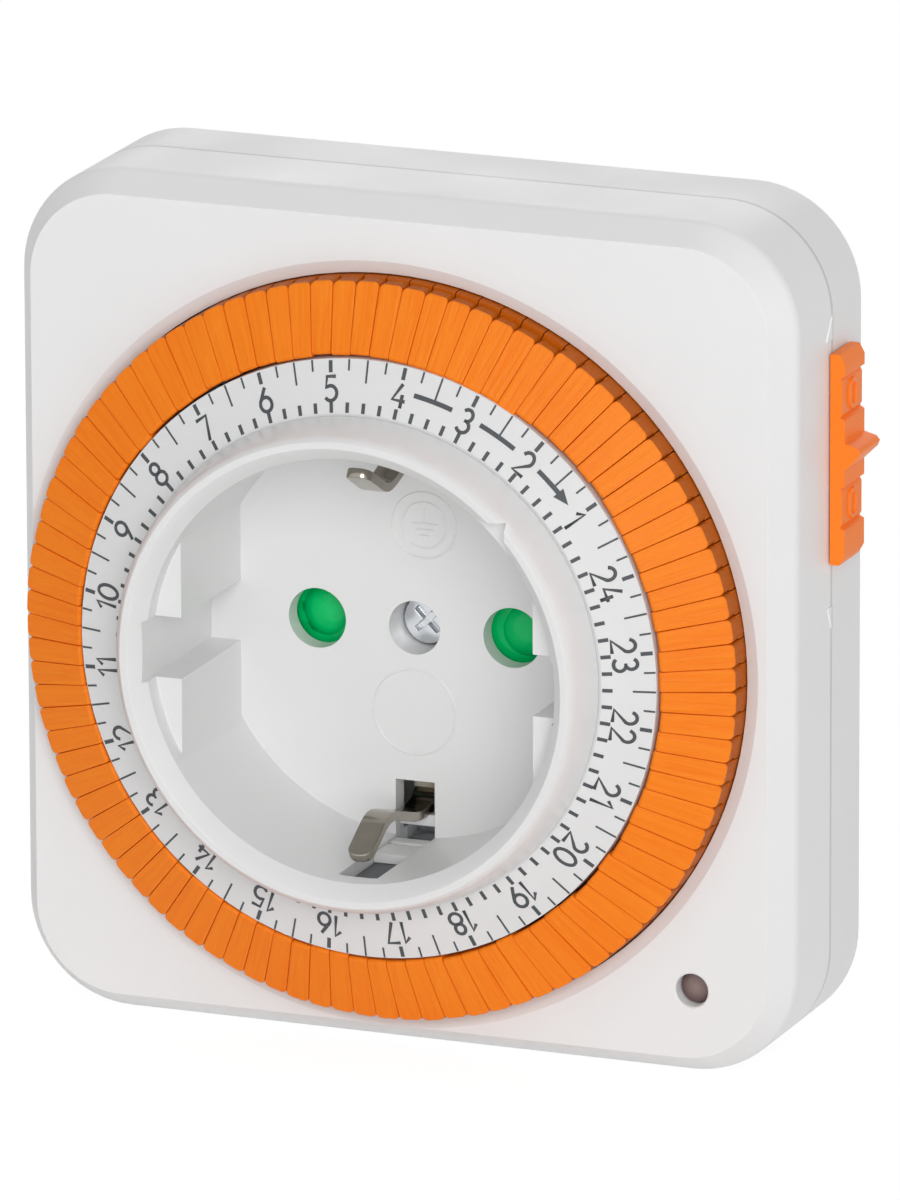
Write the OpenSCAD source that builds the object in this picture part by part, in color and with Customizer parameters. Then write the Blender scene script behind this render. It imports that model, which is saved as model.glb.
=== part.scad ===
// Plug-in timer switch: a 24-hour mechanical timer with a pass-through earthed socket.
// Modelled lying on its plug face (x right, y up, z towards the user), then turned upright.
// The origin is the centre of the plug face; the front of the timer faces -Y, the pins point +Y.

/* [Case] */
// Width of the square case
case_w = 75; // [75:1:90]
// Height of the square case
case_h = 79; // [77:1:95]
// Depth of the case from its rear wall to its front face
case_depth = 18.8; // [18:0.2:26]
// Distance of the case centre to the right of the socket axis
case_off_x = 1.0; // [0:0.1:1.4]
// Distance of the case centre above the socket axis
case_off_y = 2.0; // [0:0.1:3]
// Corner radius of the case
corner_r = 10; // [9:0.5:13]
// Wall thickness of the case
wall = 2.0; // [1.6:0.1:2]
// Width of the sloping front edge
bevel_w = 1.9; // [1.2:0.1:2.4]
// Depth of the sloping front edge
bevel_h = 2.85; // [1.5:0.05:3.5]
// Distance from the front face to the seam between the two shells
seam_depth = 11.3; // [10.8:0.1:11.8]

/* [Plug] */
// Length of the round plug body behind the case
boss_len = 17.5; // [17:0.1:20]
// Radius of the round plug body
boss_r = 18.4; // [18:0.1:19]
// Half distance between the two side flats of the plug body
boss_flat = 16.4; // [16:0.1:16.8]
// Wall thickness of the plug body
boss_wall = 1.8; // [1.4:0.1:2]
// Width of the guide rib in the middle of each side flat
rib_w = 5.2; // [4.6:0.1:5.4]
// Distance between the two pins and between the two socket holes
pin_pitch = 19; // [18.8:0.1:19.2]
// Diameter of a plug pin
pin_d = 4.8; // [4:0.1:5]
// Length of a plug pin beyond the plug face
pin_len = 19; // [18:0.1:20]

/* [Socket] */
// Depth of the socket recess from its rim to its floor
cup_depth = 17.5; // [17:0.1:18]
// Radius of the socket recess
cup_r = 19.7; // [19.5:0.1:19.9]
// Half distance between the flats of the recess
cup_flat = 17.0; // [16.7:0.1:17.4]
// Distance from the rim down to the top of the flats
flat_drop = 3.5; // [2.5:0.1:5]
// Width of the groove between the upper and lower flats
groove_w = 5.7; // [5.4:0.1:6.5]
// Wall of the recess and the sleeve on which the dial turns
sleeve_t = 1.8; // [1.6:0.1:2]
// Overhang of the rim's foot over the dial
rim_lip = 1.4; // [1.1:0.1:1.7]
// Height of the rim above the dial
rim_rise = 4.8; // [3.5:0.1:5.5]
// Diameter of the two pin holes in the socket floor
hole_d = 5.6; // [5.4:0.1:5.8]
// Diameter of the screw well in the middle of the floor
well_d = 5.0; // [4.9:0.1:5.4]
// Thickness of the socket floor
floor_t = 2.0; // [1.6:0.1:2.2]

/* [Dial] */
// Height of the dial's inner edge in front of the case face
dial_rise = 6.0; // [5.4:0.1:7]
// Fall of the dial's cone from its inner edge to the switching segments
dial_fall = 1.3; // [0.8:0.1:1.6]
// Radial clearance between the dial and the socket sleeve
dial_clear = 0.08; // [0.05:0.01:0.1]
// Width of the printed scale between the rim and the switching segments
scale_w = 4.9; // [4.7:0.1:5.1]
// Length of a switching segment along the radius
seg_len = 6.1; // [5.6:0.1:6.1]
// Fall of the segments' front from their inner to their outer end
seg_fall = 2.1; // [1:0.1:2.6]
// Gap between neighbouring segments in degrees
seg_gap = 0.22; // [0.2:0.02:0.4]
// Travel of a segment from OFF to ON
press = 2.0; // [1.6:0.1:2]
// Turn of the dial: angle of the hour-5 mark from three o'clock
dial_turn = 97; // [0:1:359]
// Gap between the segments and the edge of the case opening
opening_gap = 0.45; // [0.35:0.05:0.6]

/* [Gears] */
// Distance from the socket sleeve to the pitch circle of the dial gear
gear_rise = 3.46; // [3.2:0.02:3.7]
// Module of the idler wheel and the motor pinion
motor_mod = 0.4; // [0.38:0.01:0.4]
// Play between meshing teeth along the pitch line
backlash = 0.14; // [0.12:0.01:0.18]

/* [Switching] */
// Downward travel of the override slide
slide_travel = 2.8; // [2:0.1:3]
// Length of the override slide along the case side
slide_len = 19.5; // [18:0.5:22]
// Height of the middle of the override slide above the socket axis
slide_y = 18.5; // [17:0.1:19]
// Diameter of the indicator lens
lens_d = 2.9; // [2.6:0.1:3.2]
// Depth of the lens below the case face
lens_sink = 1.2; // [0.6:0.1:1.3]
// Distance of the lens from the right side of the case
lens_in_x = 9.1; // [8:0.1:9.6]
// Distance of the lens from the bottom of the case
lens_in_y = 8.3; // [7.6:0.1:9]

/* [Hidden] */
$fn = 96;

// Running, sliding and seating clearances
gap = 0.3;
run_gap = 0.05;
seat = 0.1;
sheet_t = 0.8;

// Levels above the plug face, from back to front
z_back = boss_len;
z_face = z_back + case_depth;
z_inside = z_back + wall;
z_seam = z_face - seam_depth;
z_dial = z_face + dial_rise;
z_rim = z_dial + rim_rise;
z_floor = z_rim - cup_depth;
z_floor_back = z_floor - floor_t;
z_flat = z_rim - flat_drop;
plate_t = 1.2;
z_plate_top = z_floor_back - 0.8;
z_plate = z_plate_top - plate_t;
wheel_t = 0.7;
z_wheel = z_plate_top + gap;
z_gear = z_wheel + wheel_t + 0.2;
gear_t = 1.2;
leg_clear = 0.4;
z_flange = z_gear + gear_t + leg_clear + press;
flange_t = 1.4;
z_seg = z_flange + flange_t + press + 0.2;
z_seg_in = z_dial - dial_fall;
z_seg_out = z_seg_in - seg_fall;

// Radii of the sleeve, the rim's foot, the dial's hub and the switching segments
sleeve_r = cup_r + sleeve_t;
rim_r = sleeve_r + rim_lip;
hub_r = rim_r + 0.2;
seg_r0 = hub_r + scale_w;
seg_r1 = seg_r0 + seg_len;

// Case
opening_r = seg_r1 + opening_gap;
rim_chamfer = 1.2;
rim_chamfer_h = 0.5;
inner_r = corner_r - wall;

// One segment for each quarter of an hour, and the teeth that turn the dial once a day
seg_n = 96;
dial_teeth = 96;
idler_small = 12;
idler_big = 30;
motor_teeth = 10;

// Dial
dial_bore = sleeve_r + dial_clear;
skirt_r = seg_r0 - 0.15;
skirt_t = 1.2;
flange_r = seg_r1 - 0.115 * seg_len;
leg_r0 = seg_r0 + 0.295 * seg_len;
leg_r1 = seg_r0 + 0.557 * seg_len;
seg_pitch = 360 / seg_n;
leg_angle = 2.2;
slot_angle = 2.9;
first_quarter = 28;

// Gear train
dial_mod = 2 * (sleeve_r + gear_rise) / dial_teeth;
idler_dist = dial_mod * (dial_teeth + idler_small) / 2;
idler_dir = 130;
idler_x = idler_dist * cos(idler_dir);
idler_y = idler_dist * sin(idler_dir);
motor_dist = motor_mod * (idler_big + motor_teeth) / 2;
motor_dir = 80;
motor_x = idler_x + motor_dist * cos(motor_dir);
motor_y = idler_y + motor_dist * sin(motor_dir);
motor_r = case_off_y + case_h / 2 - wall - motor_y - 0.4;
axle_r = 1.0;
shaft_r = 0.75;

// Posts, screws and supports
post_r = 2.6;
screw_r = 1.4;
screw_head_r = 2.5;
screw_head_h = 1.6;
screw_sink = 2.4;
head_hole_r = screw_head_r + 0.2;
hub_boss_r = 3.2;
well_wall = 1.6;
post_at = [
    [case_off_x + case_w / 2 - 6.5, case_off_y + case_h / 2 - 6.5],
    [case_off_x - case_w / 2 + 6.5, case_off_y + case_h / 2 - 6.5],
    [case_off_x - case_w / 2 + 6.5, case_off_y - case_h / 2 + 6.5],
    [case_off_x + case_w / 2 - 4.5, -21.5]
];
plate_post_r = 1.6;
plate_post_at = 19;
half_pitch = pin_pitch / 2;
pin_r = pin_d / 2;

// Lever and switch, on the right of the socket
switch_x1 = case_off_x + case_w / 2 - wall - 1.5;
switch_x0 = sleeve_r + 3.5;
lever_w = 0.6 * (switch_x1 - switch_x0);
lever_x = (switch_x0 + switch_x1 + 1 - lever_w) / 2;
lug_t = 0.16 * (switch_x1 - switch_x0);
lug_gap = 0.7;
lever_y = 8;
lever_z = z_plate_top + 1.0;
lever_pin_r = 0.8;
lever_hub_r = 1.5;
lever_reach = 17;
plunger_y = -7;
plunger_r = 1.2;
switch_y0 = -14;
switch_y1 = 6;
switch_h = 5.0;

// Indicator lens and its lamp
lens_x = case_off_x + case_w / 2 - lens_in_x;
lens_y = case_h / 2 - case_off_y - lens_in_y;
lamp_r = 1.4;
holder_half = 2.6;
holder_h = 5.5;

// Override slide
side_x = case_off_x + case_w / 2;
slide_w = 5.1;
slide_z = z_seam + 0.85 - slide_w / 2;
slide_stem_w = 3.0;
slide_stem_len = 9;
slide_t = 1.4;
grip_proud = 1.5;
pocket_t = 0.25;
pocket_half = 0.105 * slide_len;
pockets = [0.295 * slide_len, -0.228 * slide_len];
mark_t = 0.12;
mark_at = slide_len / 2 + 1.25;
mark_len = 2.4;

// Plug body
boss_face_t = 2.5;
collar = 0.2;
flange_h = 1.5;
z_bridge = boss_face_t + flange_h;
bridge_t = 2.0;
bridge_half = half_pitch + 3.1;
z_bar = z_bridge + bridge_t + 0.1;
load_z = z_bar + 3.5;
load_ledge = 1.4;

// Screw well in the socket floor and the boss below it
well_drop = 3.2;
well_head_h = 1.5;
web_t = 1.5;
z_web = z_floor - well_drop - well_head_h;
z_hub = z_web - web_t;

// Shutter
shutter_t = 2.0;
z_shutter = z_floor_back - gap - shutter_t;
shutter_bore = well_d / 2 + well_wall + run_gap;
wing_half = 20;

// Earth path
clip_w = 2.4;
clip_t = 0.9;
clip_window_w = 3.8;
clip_bump = 15.0;
clip_bend = 1.6;
clip_foot = 14.9;
clip_base = 9.0;
window_y = 14.4;
strip_y = boss_r - 0.6;
strip_len = 13.6;
strip_tab_z = 13.4;

module upright() rotate([90, 0, 0]) children();
module at_z(z) translate([0, 0, z]) children();

// A rectangle with round corners, centred on the case
module case_outline(w, h, r) {
    translate([case_off_x, case_off_y]) {
        square([w - 2 * r, h], center = true);
        square([w, h - 2 * r], center = true);
        for (sx = [-1, 1], sy = [-1, 1])
            translate([sx * (w / 2 - r), sy * (h / 2 - r)]) circle(r);
    }
}

// A plate of the case outline whose edge slopes inwards by "bw" over its height "bh"
module sloped_plate(w, h, r, bw, bh) {
    translate([case_off_x, case_off_y, 0]) {
        translate([0, h / 2 - r, 0]) rotate([90, 0, 0])
            linear_extrude(h - 2 * r)
                polygon([[-w / 2, 0], [w / 2, 0], [w / 2 - bw, bh], [-w / 2 + bw, bh]]);
        translate([-w / 2 + r, 0, 0]) rotate([90, 0, 90])
            linear_extrude(w - 2 * r)
                polygon([[-h / 2, 0], [h / 2, 0], [h / 2 - bw, bh], [-h / 2 + bw, bh]]);
        for (sx = [-1, 1], sy = [-1, 1])
            translate([sx * (w / 2 - r), sy * (h / 2 - r), 0]) cylinder(r1 = r, r2 = r - bw, h = bh);
    }
}

// Involute gear outline with a tooth on the +x axis
function inv_deg(a) = tan(a) * 180 / PI - a;
function flank_deg(r, rp, rb, half) = half + inv_deg(20) - inv_deg(acos(min(1, rb / r)));
function gear_points(teeth, m, add, ded) =
    let (rp = m * teeth / 2, rb = rp * cos(20), ra = rp + add * m, rf = rp - ded * m)
    let (half = (PI * m / 2 - backlash) / 2 / rp * 180 / PI)
    let (rs = [max(rb, rf), rp, (rp + ra) / 2, ra])
    [for (i = [0 : teeth - 1]) let (c = i * 360 / teeth) each concat(
        rf < rb ? [[rf * cos(c - flank_deg(rb, rp, rb, half)), rf * sin(c - flank_deg(rb, rp, rb, half))]] : [],
        [for (r = rs) let (a = c - flank_deg(r, rp, rb, half)) [r * cos(a), r * sin(a)]],
        [for (k = [3 : -1 : 0]) let (a = c + flank_deg(rs[k], rp, rb, half)) [rs[k] * cos(a), rs[k] * sin(a)]],
        rf < rb ? [[rf * cos(c + flank_deg(rb, rp, rb, half)), rf * sin(c + flank_deg(rb, rp, rb, half))]] : []
    )];

module gear(teeth, m, h, add = 0.8, ded = 1.15) {
    linear_extrude(h) polygon(gear_points(teeth, m, add, ded));
}

// Outline of a sheet strip of thickness t bent along a line of points
function side_of(a, b, t) = let (d = b - a, n = norm(d)) [-d[1], d[0]] * t / 2 / n;
function strip_points(p, t) = concat(
    [for (i = [0 : len(p) - 1]) p[i] + side_of(p[max(i - 1, 0)], p[min(i + 1, len(p) - 1)], t)],
    [for (i = [len(p) - 1 : -1 : 0]) p[i] - side_of(p[max(i - 1, 0)], p[min(i + 1, len(p) - 1)], t)]
);

// The same line with each inner corner rounded, reach "q" along both of its sides
function arc_steps(a, b, c) = [for (t = [0 : 0.25 : 1]) (1 - t) * (1 - t) * a + 2 * t * (1 - t) * b + t * t * c];
function toward(a, b, q) = a + (b - a) * min(q / norm(b - a), 0.45);
function rounded_line(p, q) = [
    p[0],
    for (i = [1 : len(p) - 2]) each arc_steps(toward(p[i], p[i - 1], q), p[i], toward(p[i], p[i + 1], q)),
    p[len(p) - 1]
];

// A strip bent in the y-z plane, w wide along x and centred on it
module bent_strip(p, t, w) {
    translate([w / 2, 0, 0]) rotate([90, 0, -90]) mirror([1, 0, 0])
        linear_extrude(w) polygon(strip_points(p, t));
}

// A coil of round wire about the z axis
module coil(r, wire, turns, h) {
    steps = 14;
    sides = 6;
    n = turns * steps;
    ring = [for (i = [0 : n], j = [0 : sides - 1])
        let (a = i * 360 / steps, b = j * 360 / sides, q = r + wire / 2 * cos(b))
        [q * cos(a), q * sin(a), h * i / n + wire / 2 * sin(b)]];
    skin = [for (i = [0 : n - 1], j = [0 : sides - 1])
        let (k = (j + 1) % sides)
        [i * sides + j, i * sides + k, (i + 1) * sides + k, (i + 1) * sides + j]];
    first = [for (j = [sides - 1 : -1 : 0]) j];
    last = [for (j = [0 : sides - 1]) n * sides + j];
    polyhedron(points = ring, faces = concat(skin, [first], [last]));
}

// Moulded front shell with the round opening, the lens hole and the screw posts
module front_housing() {
    color("whitesmoke") upright() difference() {
        union() {
            difference() {
                union() {
                    at_z(z_seam) linear_extrude(seam_depth - bevel_h) case_outline(case_w, case_h, corner_r);
                    at_z(z_face - bevel_h) sloped_plate(case_w, case_h, corner_r, bevel_w, bevel_h);
                }
                at_z(z_seam - 1) linear_extrude(seam_depth - wall + 1 - bevel_h / 2)
                    case_outline(case_w - 2 * wall, case_h - 2 * wall, inner_r);
                at_z(z_face - wall - bevel_h / 2 - 0.01)
                    linear_extrude(bevel_h / 2 + 0.01)
                        case_outline(case_w - 2 * wall - bevel_w, case_h - 2 * wall - bevel_w, inner_r - bevel_w / 2);
            }
            for (p = post_at) translate([p[0], p[1], z_seam])
                cylinder(r = post_r, h = seam_depth - wall + 0.5);
            translate([lens_x, -lens_y, z_face - wall - 1.6]) cylinder(r = lens_d / 2 + 2.0, h = 1.8);
            slide_mark(slide_y + mark_at, 1, 1.6);
            slide_mark(slide_y - mark_at - slide_travel, -1, 1.1);
        }
        at_z(z_seam - 1) cylinder(r = opening_r, h = seam_depth + 2);
        at_z(z_face - rim_chamfer_h)
            cylinder(r1 = opening_r, r2 = opening_r + rim_chamfer, h = rim_chamfer_h + 0.001);
        for (p = post_at) translate([p[0], p[1], z_seam - 1])
            cylinder(r = screw_r + 0.05, h = seam_depth - 2.5);
        translate([lens_x, -lens_y, z_face - wall - 2]) cylinder(r = lens_d / 2 + 0.1, h = wall + 3);
        translate([lens_x, -lens_y, z_face - 0.15])
            cylinder(r1 = lens_d / 2 + 0.1, r2 = lens_d / 2 + 0.25, h = 0.151);
        translate([lens_x, -lens_y, z_face - wall - 2]) cylinder(r = lens_d / 2 + 0.9, h = 1.7);
    }
}

// Raised wedge on the side wall that marks one end of the slide's way, "h" high at its root
module slide_mark(y, s, h) {
    translate([side_x - mark_t, 0, z_seam]) rotate([90, 0, 90]) linear_extrude(2 * mark_t)
        polygon([[y, 0], [y, h], [y + s * mark_len, 0]]);
}

// Outline of the plug body: a circle with two side flats and a guide rib on each
module boss_outline(r, flat, rib) {
    intersection() {
        circle(r);
        union() {
            square([2 * flat, 3 * r], center = true);
            square([3 * r, rib], center = true);
        }
    }
}

// Moulded rear shell with the plug body, its inner supports and the screw sleeves
module rear_housing() {
    color("gainsboro") upright() difference() {
        union() {
            rear_shell();
            at_z(boss_face_t - 1) cylinder(r = hub_boss_r, h = z_hub - boss_face_t + 1);
        }
        at_z(z_hub - 9) cylinder(r = screw_r, h = 10);
    }
}
module rear_shell() {
    difference() {
        union() {
            difference() {
                at_z(z_back) linear_extrude(z_seam - z_back) case_outline(case_w, case_h, corner_r);
                at_z(z_inside) linear_extrude(z_seam - z_back)
                    case_outline(case_w - 2 * wall, case_h - 2 * wall, inner_r);
            }
            linear_extrude(z_back + 0.5) boss_outline(boss_r, boss_flat, rib_w);
            for (p = post_at) translate([p[0], p[1], z_inside - 1]) {
                cylinder(r = post_r, h = z_seam - z_inside + 1);
                cylinder(r = head_hole_r + 1.0, h = z_back + screw_sink + 2.0 - z_inside);
            }
            for (a = [60, 120, 240, 300]) rotate([0, 0, a])
                translate([plate_post_at, 0, z_inside - 1]) cylinder(r = plate_post_r, h = z_plate - z_inside + 1);
        }
        // hollow of the plug body, around the load ledge and the clip ribs
        difference() {
            at_z(boss_face_t) linear_extrude(z_back + wall)
                boss_outline(boss_r - boss_wall, boss_flat - boss_wall, rib_w - 2 * boss_wall);
            translate([boss_flat - boss_wall - load_ledge, -5, 0]) cube([4, 10, load_z]);
            for (s = [-1, 1]) translate([-3, s * (clip_foot + 1.6) - 1.5, 0]) cube([6, 3, clip_base]);
        }
        for (s = [-1, 1]) translate([s * half_pitch, 0, -1]) cylinder(r = pin_r + collar, h = boss_face_t + 2);
        for (p = post_at) translate([p[0], p[1], z_back - 1]) {
            cylinder(r = screw_r + 0.15, h = z_seam);
            cylinder(r = head_hole_r, h = 1 + screw_sink);
        }
        // recess and window of each side earth contact
        for (s = [-1, 1]) {
            translate([-3.2, s > 0 ? strip_y : -strip_y - 2, 1.0]) cube([6.4, 2, strip_len + 0.4]);
            translate([-2.2, s * (boss_r - 1.2) - 1.6, strip_tab_z - 0.1]) cube([4.4, 3.2, sheet_t + 0.2]);
        }
        // slot of the override slide
        translate([side_x - wall - 1, slide_y, slide_z - slide_stem_w / 2 - gap])
            translate([0, -slide_stem_len / 2 - slide_travel - gap, 0])
                cube([wall + 2, slide_stem_len + slide_travel + 2 * gap, z_seam]);
    }
}

// Socket insert: the white cup with its rim, flats, pin holes, screw well and clip windows
module socket_insert() {
    color("white") upright() difference() {
        union() {
            rotate_extrude() polygon([
                [cup_r, z_floor_back], [cup_r, z_rim - 1.6], [cup_r + 0.8, z_rim - 0.5], [cup_r + 1.3, z_rim],
                [cup_r + 1.9, z_rim], [rim_r - 0.7, z_rim - 0.7], [rim_r, z_dial + 0.25],
                [sleeve_r, z_dial + 0.25], [sleeve_r, z_gear - 0.1], [sleeve_r - 0.5, z_gear - 0.1],
                [sleeve_r - 0.5, z_plate_top], [cup_r, z_plate_top]
            ]);
            at_z(z_floor_back) cylinder(r = cup_r + 0.5, h = floor_t);
            for (s = [-1, 1]) intersection() {
                at_z(z_floor_back) cylinder(r = cup_r + 0.5, h = z_flat - z_floor_back);
                translate([s * (cup_flat + 5) - 5, -15, z_floor_back]) cube([10, 30, z_flat - z_floor_back]);
            }
            at_z(z_hub) cylinder(r = well_d / 2 + well_wall, h = z_floor - z_hub);
        }
        for (s = [-1, 1]) {
            translate([s * half_pitch, 0, z_floor_back - 1]) cylinder(r = hole_d / 2, h = floor_t + 2);
            // groove between the upper and the lower flat
            translate([s > 0 ? cup_flat - 1 : -cup_r - 0.2, -groove_w / 2, z_floor])
                cube([cup_r + 1.2 - cup_flat, groove_w, cup_depth]);
            // window in the floor and slot in the wall for an earth clip
            translate([-clip_window_w / 2, s > 0 ? window_y : -cup_r, z_floor_back - 1])
                cube([clip_window_w, cup_r - window_y, floor_t + 2]);
            translate([-clip_window_w / 2, s > 0 ? cup_r - 1.5 : -sleeve_r + 0.5, z_floor_back - 1])
                cube([clip_window_w, sleeve_r - cup_r + 1, z_rim - 2.6 - z_floor_back]);
        }
        at_z(z_web) cylinder(r = well_d / 2, h = z_floor - z_web + 1);
        at_z(z_hub - 1) cylinder(r = screw_r + 0.15, h = web_t + 2);
        // pointer notch in the rim at the switching point
        rotate([0, 0, 45]) translate([cup_r + 2.4, 0, z_rim - 1.7]) rotate([0, 0, 135]) cube([4, 4, 2]);
    }
}

// Child-protection shutter: a hub with two wings that cover the pin holes
module shutter() {
    color("mediumseagreen") upright() at_z(z_shutter) difference() {
        union() {
            cylinder(r = shutter_bore + 1.4, h = shutter_t);
            for (s = [0, 180]) rotate([0, 0, s - wing_half])
                rotate_extrude(angle = 2 * wing_half) polygon([
                    [shutter_bore + 0.6, 0], [half_pitch + 3.4, 0], [half_pitch + 3.4, 0.8],
                    [half_pitch + 1.6, shutter_t], [shutter_bore + 0.6, shutter_t]
                ]);
        }
        at_z(-1) cylinder(r = shutter_bore, h = shutter_t + 2);
    }
}

module shutter_spring() {
    wire = 0.4;
    color("silver") upright() at_z(z_hub + wire) coil(shutter_bore + 0.7, wire, 3, z_shutter - z_hub - 2 * wire);
}

// Cross-recessed screw that holds the socket insert to the rear shell
module centre_screw() {
    color("lightsteelblue") upright() difference() {
        union() {
            at_z(z_web) cylinder(r = well_d / 2 - 0.2, h = well_head_h);
            at_z(z_hub - 8.5) cylinder(r = screw_r, h = z_web - z_hub + 9);
        }
        at_z(z_web + well_head_h - 0.8) for (a = [45, 135]) rotate([0, 0, a])
            translate([-1.5, -0.3, 0]) cube([3, 0.6, 1]);
    }
}

// Springy earth clip of the socket; s is +1 for the upper clip and -1 for the lower
module earth_clip(s) {
    y0 = clip_foot + clip_t / 2;
    bends = [
        [s * y0, clip_base], [s * y0, z_plate - 0.4], [s * (y0 + 0.8), z_plate + 0.8],
        [s * (cup_r - 2.5), z_floor_back], [s * (cup_r - 2.4), z_floor + 1.5],
        [s * (clip_bump + 0.2), z_floor + cup_depth / 2], [s * (cup_r - 1.7), z_rim - 3.7]
    ];
    color("silver") upright() bent_strip(rounded_line(bends, clip_bend), clip_t, clip_w);
}
module earth_clip_top() earth_clip(1);
module earth_clip_bottom() earth_clip(-1);

// Strip that joins the feet of both earth clips beside the centre boss
module earth_bridge() {
    color("silver") upright() at_z(clip_base + 2) {
        translate([hub_boss_r + 0.3, -clip_foot, 0]) cube([2.0, 2 * clip_foot, sheet_t]);
        for (s = [-1, 1]) translate([-2, s > 0 ? clip_foot - 2 : -clip_foot, 0])
            cube([hub_boss_r + 4.3, 2, sheet_t]);
    }
}

// Side earth contact of the plug body with the tab that reaches the clip inside
module plug_earth(s) {
    tab = strip_y + 0.1 - clip_foot - clip_t;
    color("silver") upright() {
        translate([-3, s > 0 ? strip_y : -strip_y - sheet_t, 1.2]) cube([6, sheet_t, strip_len]);
        translate([-2, s > 0 ? clip_foot + clip_t : -strip_y - 0.1, strip_tab_z]) cube([4, tab, sheet_t]);
    }
}
module plug_earth_top() plug_earth(1);
module plug_earth_bottom() plug_earth(-1);

// Plug pin with its flange inside the plug face and its riveted root
module plug_pin() {
    tip = 1.2;
    rotate_extrude() {
        translate([0, -pin_len]) square([pin_r - tip, pin_len]);
        translate([0, -pin_len + tip]) square([pin_r, pin_len - tip + z_bar + sheet_t + 0.1]);
        translate([pin_r - tip, -pin_len + tip]) circle(tip);
        square([pin_r + collar, boss_face_t]);
        translate([0, boss_face_t]) square([pin_r + 1.0, flange_h]);
        translate([0, z_bar + sheet_t]) square([pin_r + 0.4, 0.8]);
    }
}
module plug_pin_line() color("silver") upright() translate([half_pitch, 0, 0]) plug_pin();
module plug_pin_neutral() color("silver") upright() translate([-half_pitch, 0, 0]) plug_pin();

// Insulating bridge that clamps both pin flanges
module pin_bridge() {
    color("dimgray") upright() at_z(z_bridge) difference() {
        translate([-bridge_half, -6, 0]) cube([2 * bridge_half, 12, bridge_t]);
        for (s = [-1, 1]) translate([s * half_pitch, 0, -1]) cylinder(r = pin_r + 0.05, h = bridge_t + 2);
        at_z(-1) cylinder(r = hub_boss_r + 0.05, h = bridge_t + 2);
    }
}

// A pair of spring leaves that grip a plug pin, standing on a base plate
module tulip(z) {
    top = z_shutter - 0.9;
    for (s = [-1, 1])
        bent_strip([
            [s * 3.3, z + sheet_t / 2], [s * 2.9, z + 4], [s * 2.5, top - 4.4],
            [s * 2.45, top - 3.2], [s * 3.1, top]
        ], 0.6, 5);
}

// Neutral contact, riveted to its plug pin
module contact_neutral() {
    color("goldenrod") upright() translate([-half_pitch, 0, 0]) {
        difference() {
            translate([-3.2, -3.6, z_bar]) cube([6.2, 7.2, sheet_t]);
            at_z(z_bar - 1) cylinder(r = pin_r + 0.05, h = sheet_t + 2);
        }
        tulip(z_bar);
    }
}

// Switched contact on its ledge, with the riser that leads to the switch
load_tab_z = z_inside + 1.2;
module contact_load() {
    color("goldenrod") upright() {
        translate([half_pitch - 3.2, -3.6, load_z]) cube([boss_flat - boss_wall - half_pitch + 3.1, 7.2, sheet_t]);
        translate([half_pitch, 0, 0]) tulip(load_z);
        translate([half_pitch - 2.5, 3.5, load_z]) cube([5, 5.3, sheet_t]);
        translate([half_pitch - 2.5, 8.0, load_z]) cube([5, sheet_t, load_tab_z + sheet_t - load_z]);
        translate([half_pitch - 2.5, 4.6, load_tab_z]) cube([switch_x0 - half_pitch + 2.5, 4.2, sheet_t]);
        translate([switch_x0 - sheet_t, switch_y1 - 3.4, load_tab_z]) cube([sheet_t, 3.2, 2.6]);
    }
}

// Line busbar from its plug pin to the switch
line_tab_z = z_inside + 0.4;
line_tab_y = 12.6;
module busbar_line() {
    color("goldenrod") upright() {
        difference() {
            translate([half_pitch - 3.2, -9.6, z_bar]) cube([6.2, 12.8, sheet_t]);
            translate([half_pitch, 0, z_bar - 1]) cylinder(r = pin_r + 0.05, h = sheet_t + 2);
        }
        translate([half_pitch - 2.5, -9.6, z_bar]) cube([5, sheet_t, line_tab_z + sheet_t - z_bar]);
        translate([half_pitch - 2.5, -line_tab_y, line_tab_z]) cube([switch_x0 - half_pitch + 2.5, 3.8, sheet_t]);
        translate([switch_x0 - sheet_t, -line_tab_y, line_tab_z]) cube([sheet_t, 3.2, 3.4]);
    }
}

// Dial: hub, printed cone, skirt, slotted flange and gear ring
module dial_ring() {
    color("white") upright() rotate([0, 0, dial_turn]) difference() {
        union() {
            rotate_extrude() polygon([
                [dial_bore, z_gear], [hub_r, z_gear], [hub_r, z_dial - skirt_t],
                [skirt_r - skirt_t, z_seg_in - skirt_t], [skirt_r - skirt_t, z_flange],
                [flange_r, z_flange], [flange_r, z_flange + flange_t], [skirt_r, z_flange + flange_t],
                [skirt_r, z_seg_in], [hub_r, z_dial], [dial_bore, z_dial]
            ]);
            at_z(z_gear) difference() {
                rotate([0, 0, idler_dir - dial_turn]) gear(dial_teeth, dial_mod, gear_t);
                at_z(-1) cylinder(r = dial_bore + 0.5, h = gear_t + 2);
            }
        }
        for (i = [0 : seg_n - 1]) rotate([0, 0, (i + 0.5) * seg_pitch - slot_angle / 2])
            rotate_extrude(angle = slot_angle) translate([leg_r0 - 0.2, z_flange - 1])
                square([leg_r1 - leg_r0 + 0.4, flange_t + 2]);
    }
}

// One switching segment, standing between quarter-hour marks i and i+1
module segment(i) {
    a = dial_turn + (i + 0.5) * seg_pitch;
    body = seg_pitch - seg_gap;
    chamfer = 0.5;
    rotate([0, 0, a - body / 2]) rotate_extrude(angle = body) polygon([
        [seg_r0, z_seg], [seg_r1, z_seg], [seg_r1, z_seg_out - chamfer],
        [seg_r1 - chamfer, z_seg_out + seg_fall * chamfer / (seg_r1 - seg_r0)], [seg_r0, z_seg_in]
    ]);
    rotate([0, 0, a - leg_angle / 2]) rotate_extrude(angle = leg_angle)
        translate([leg_r0, z_flange]) square([leg_r1 - leg_r0, z_seg - z_flange + 0.5]);
}

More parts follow.
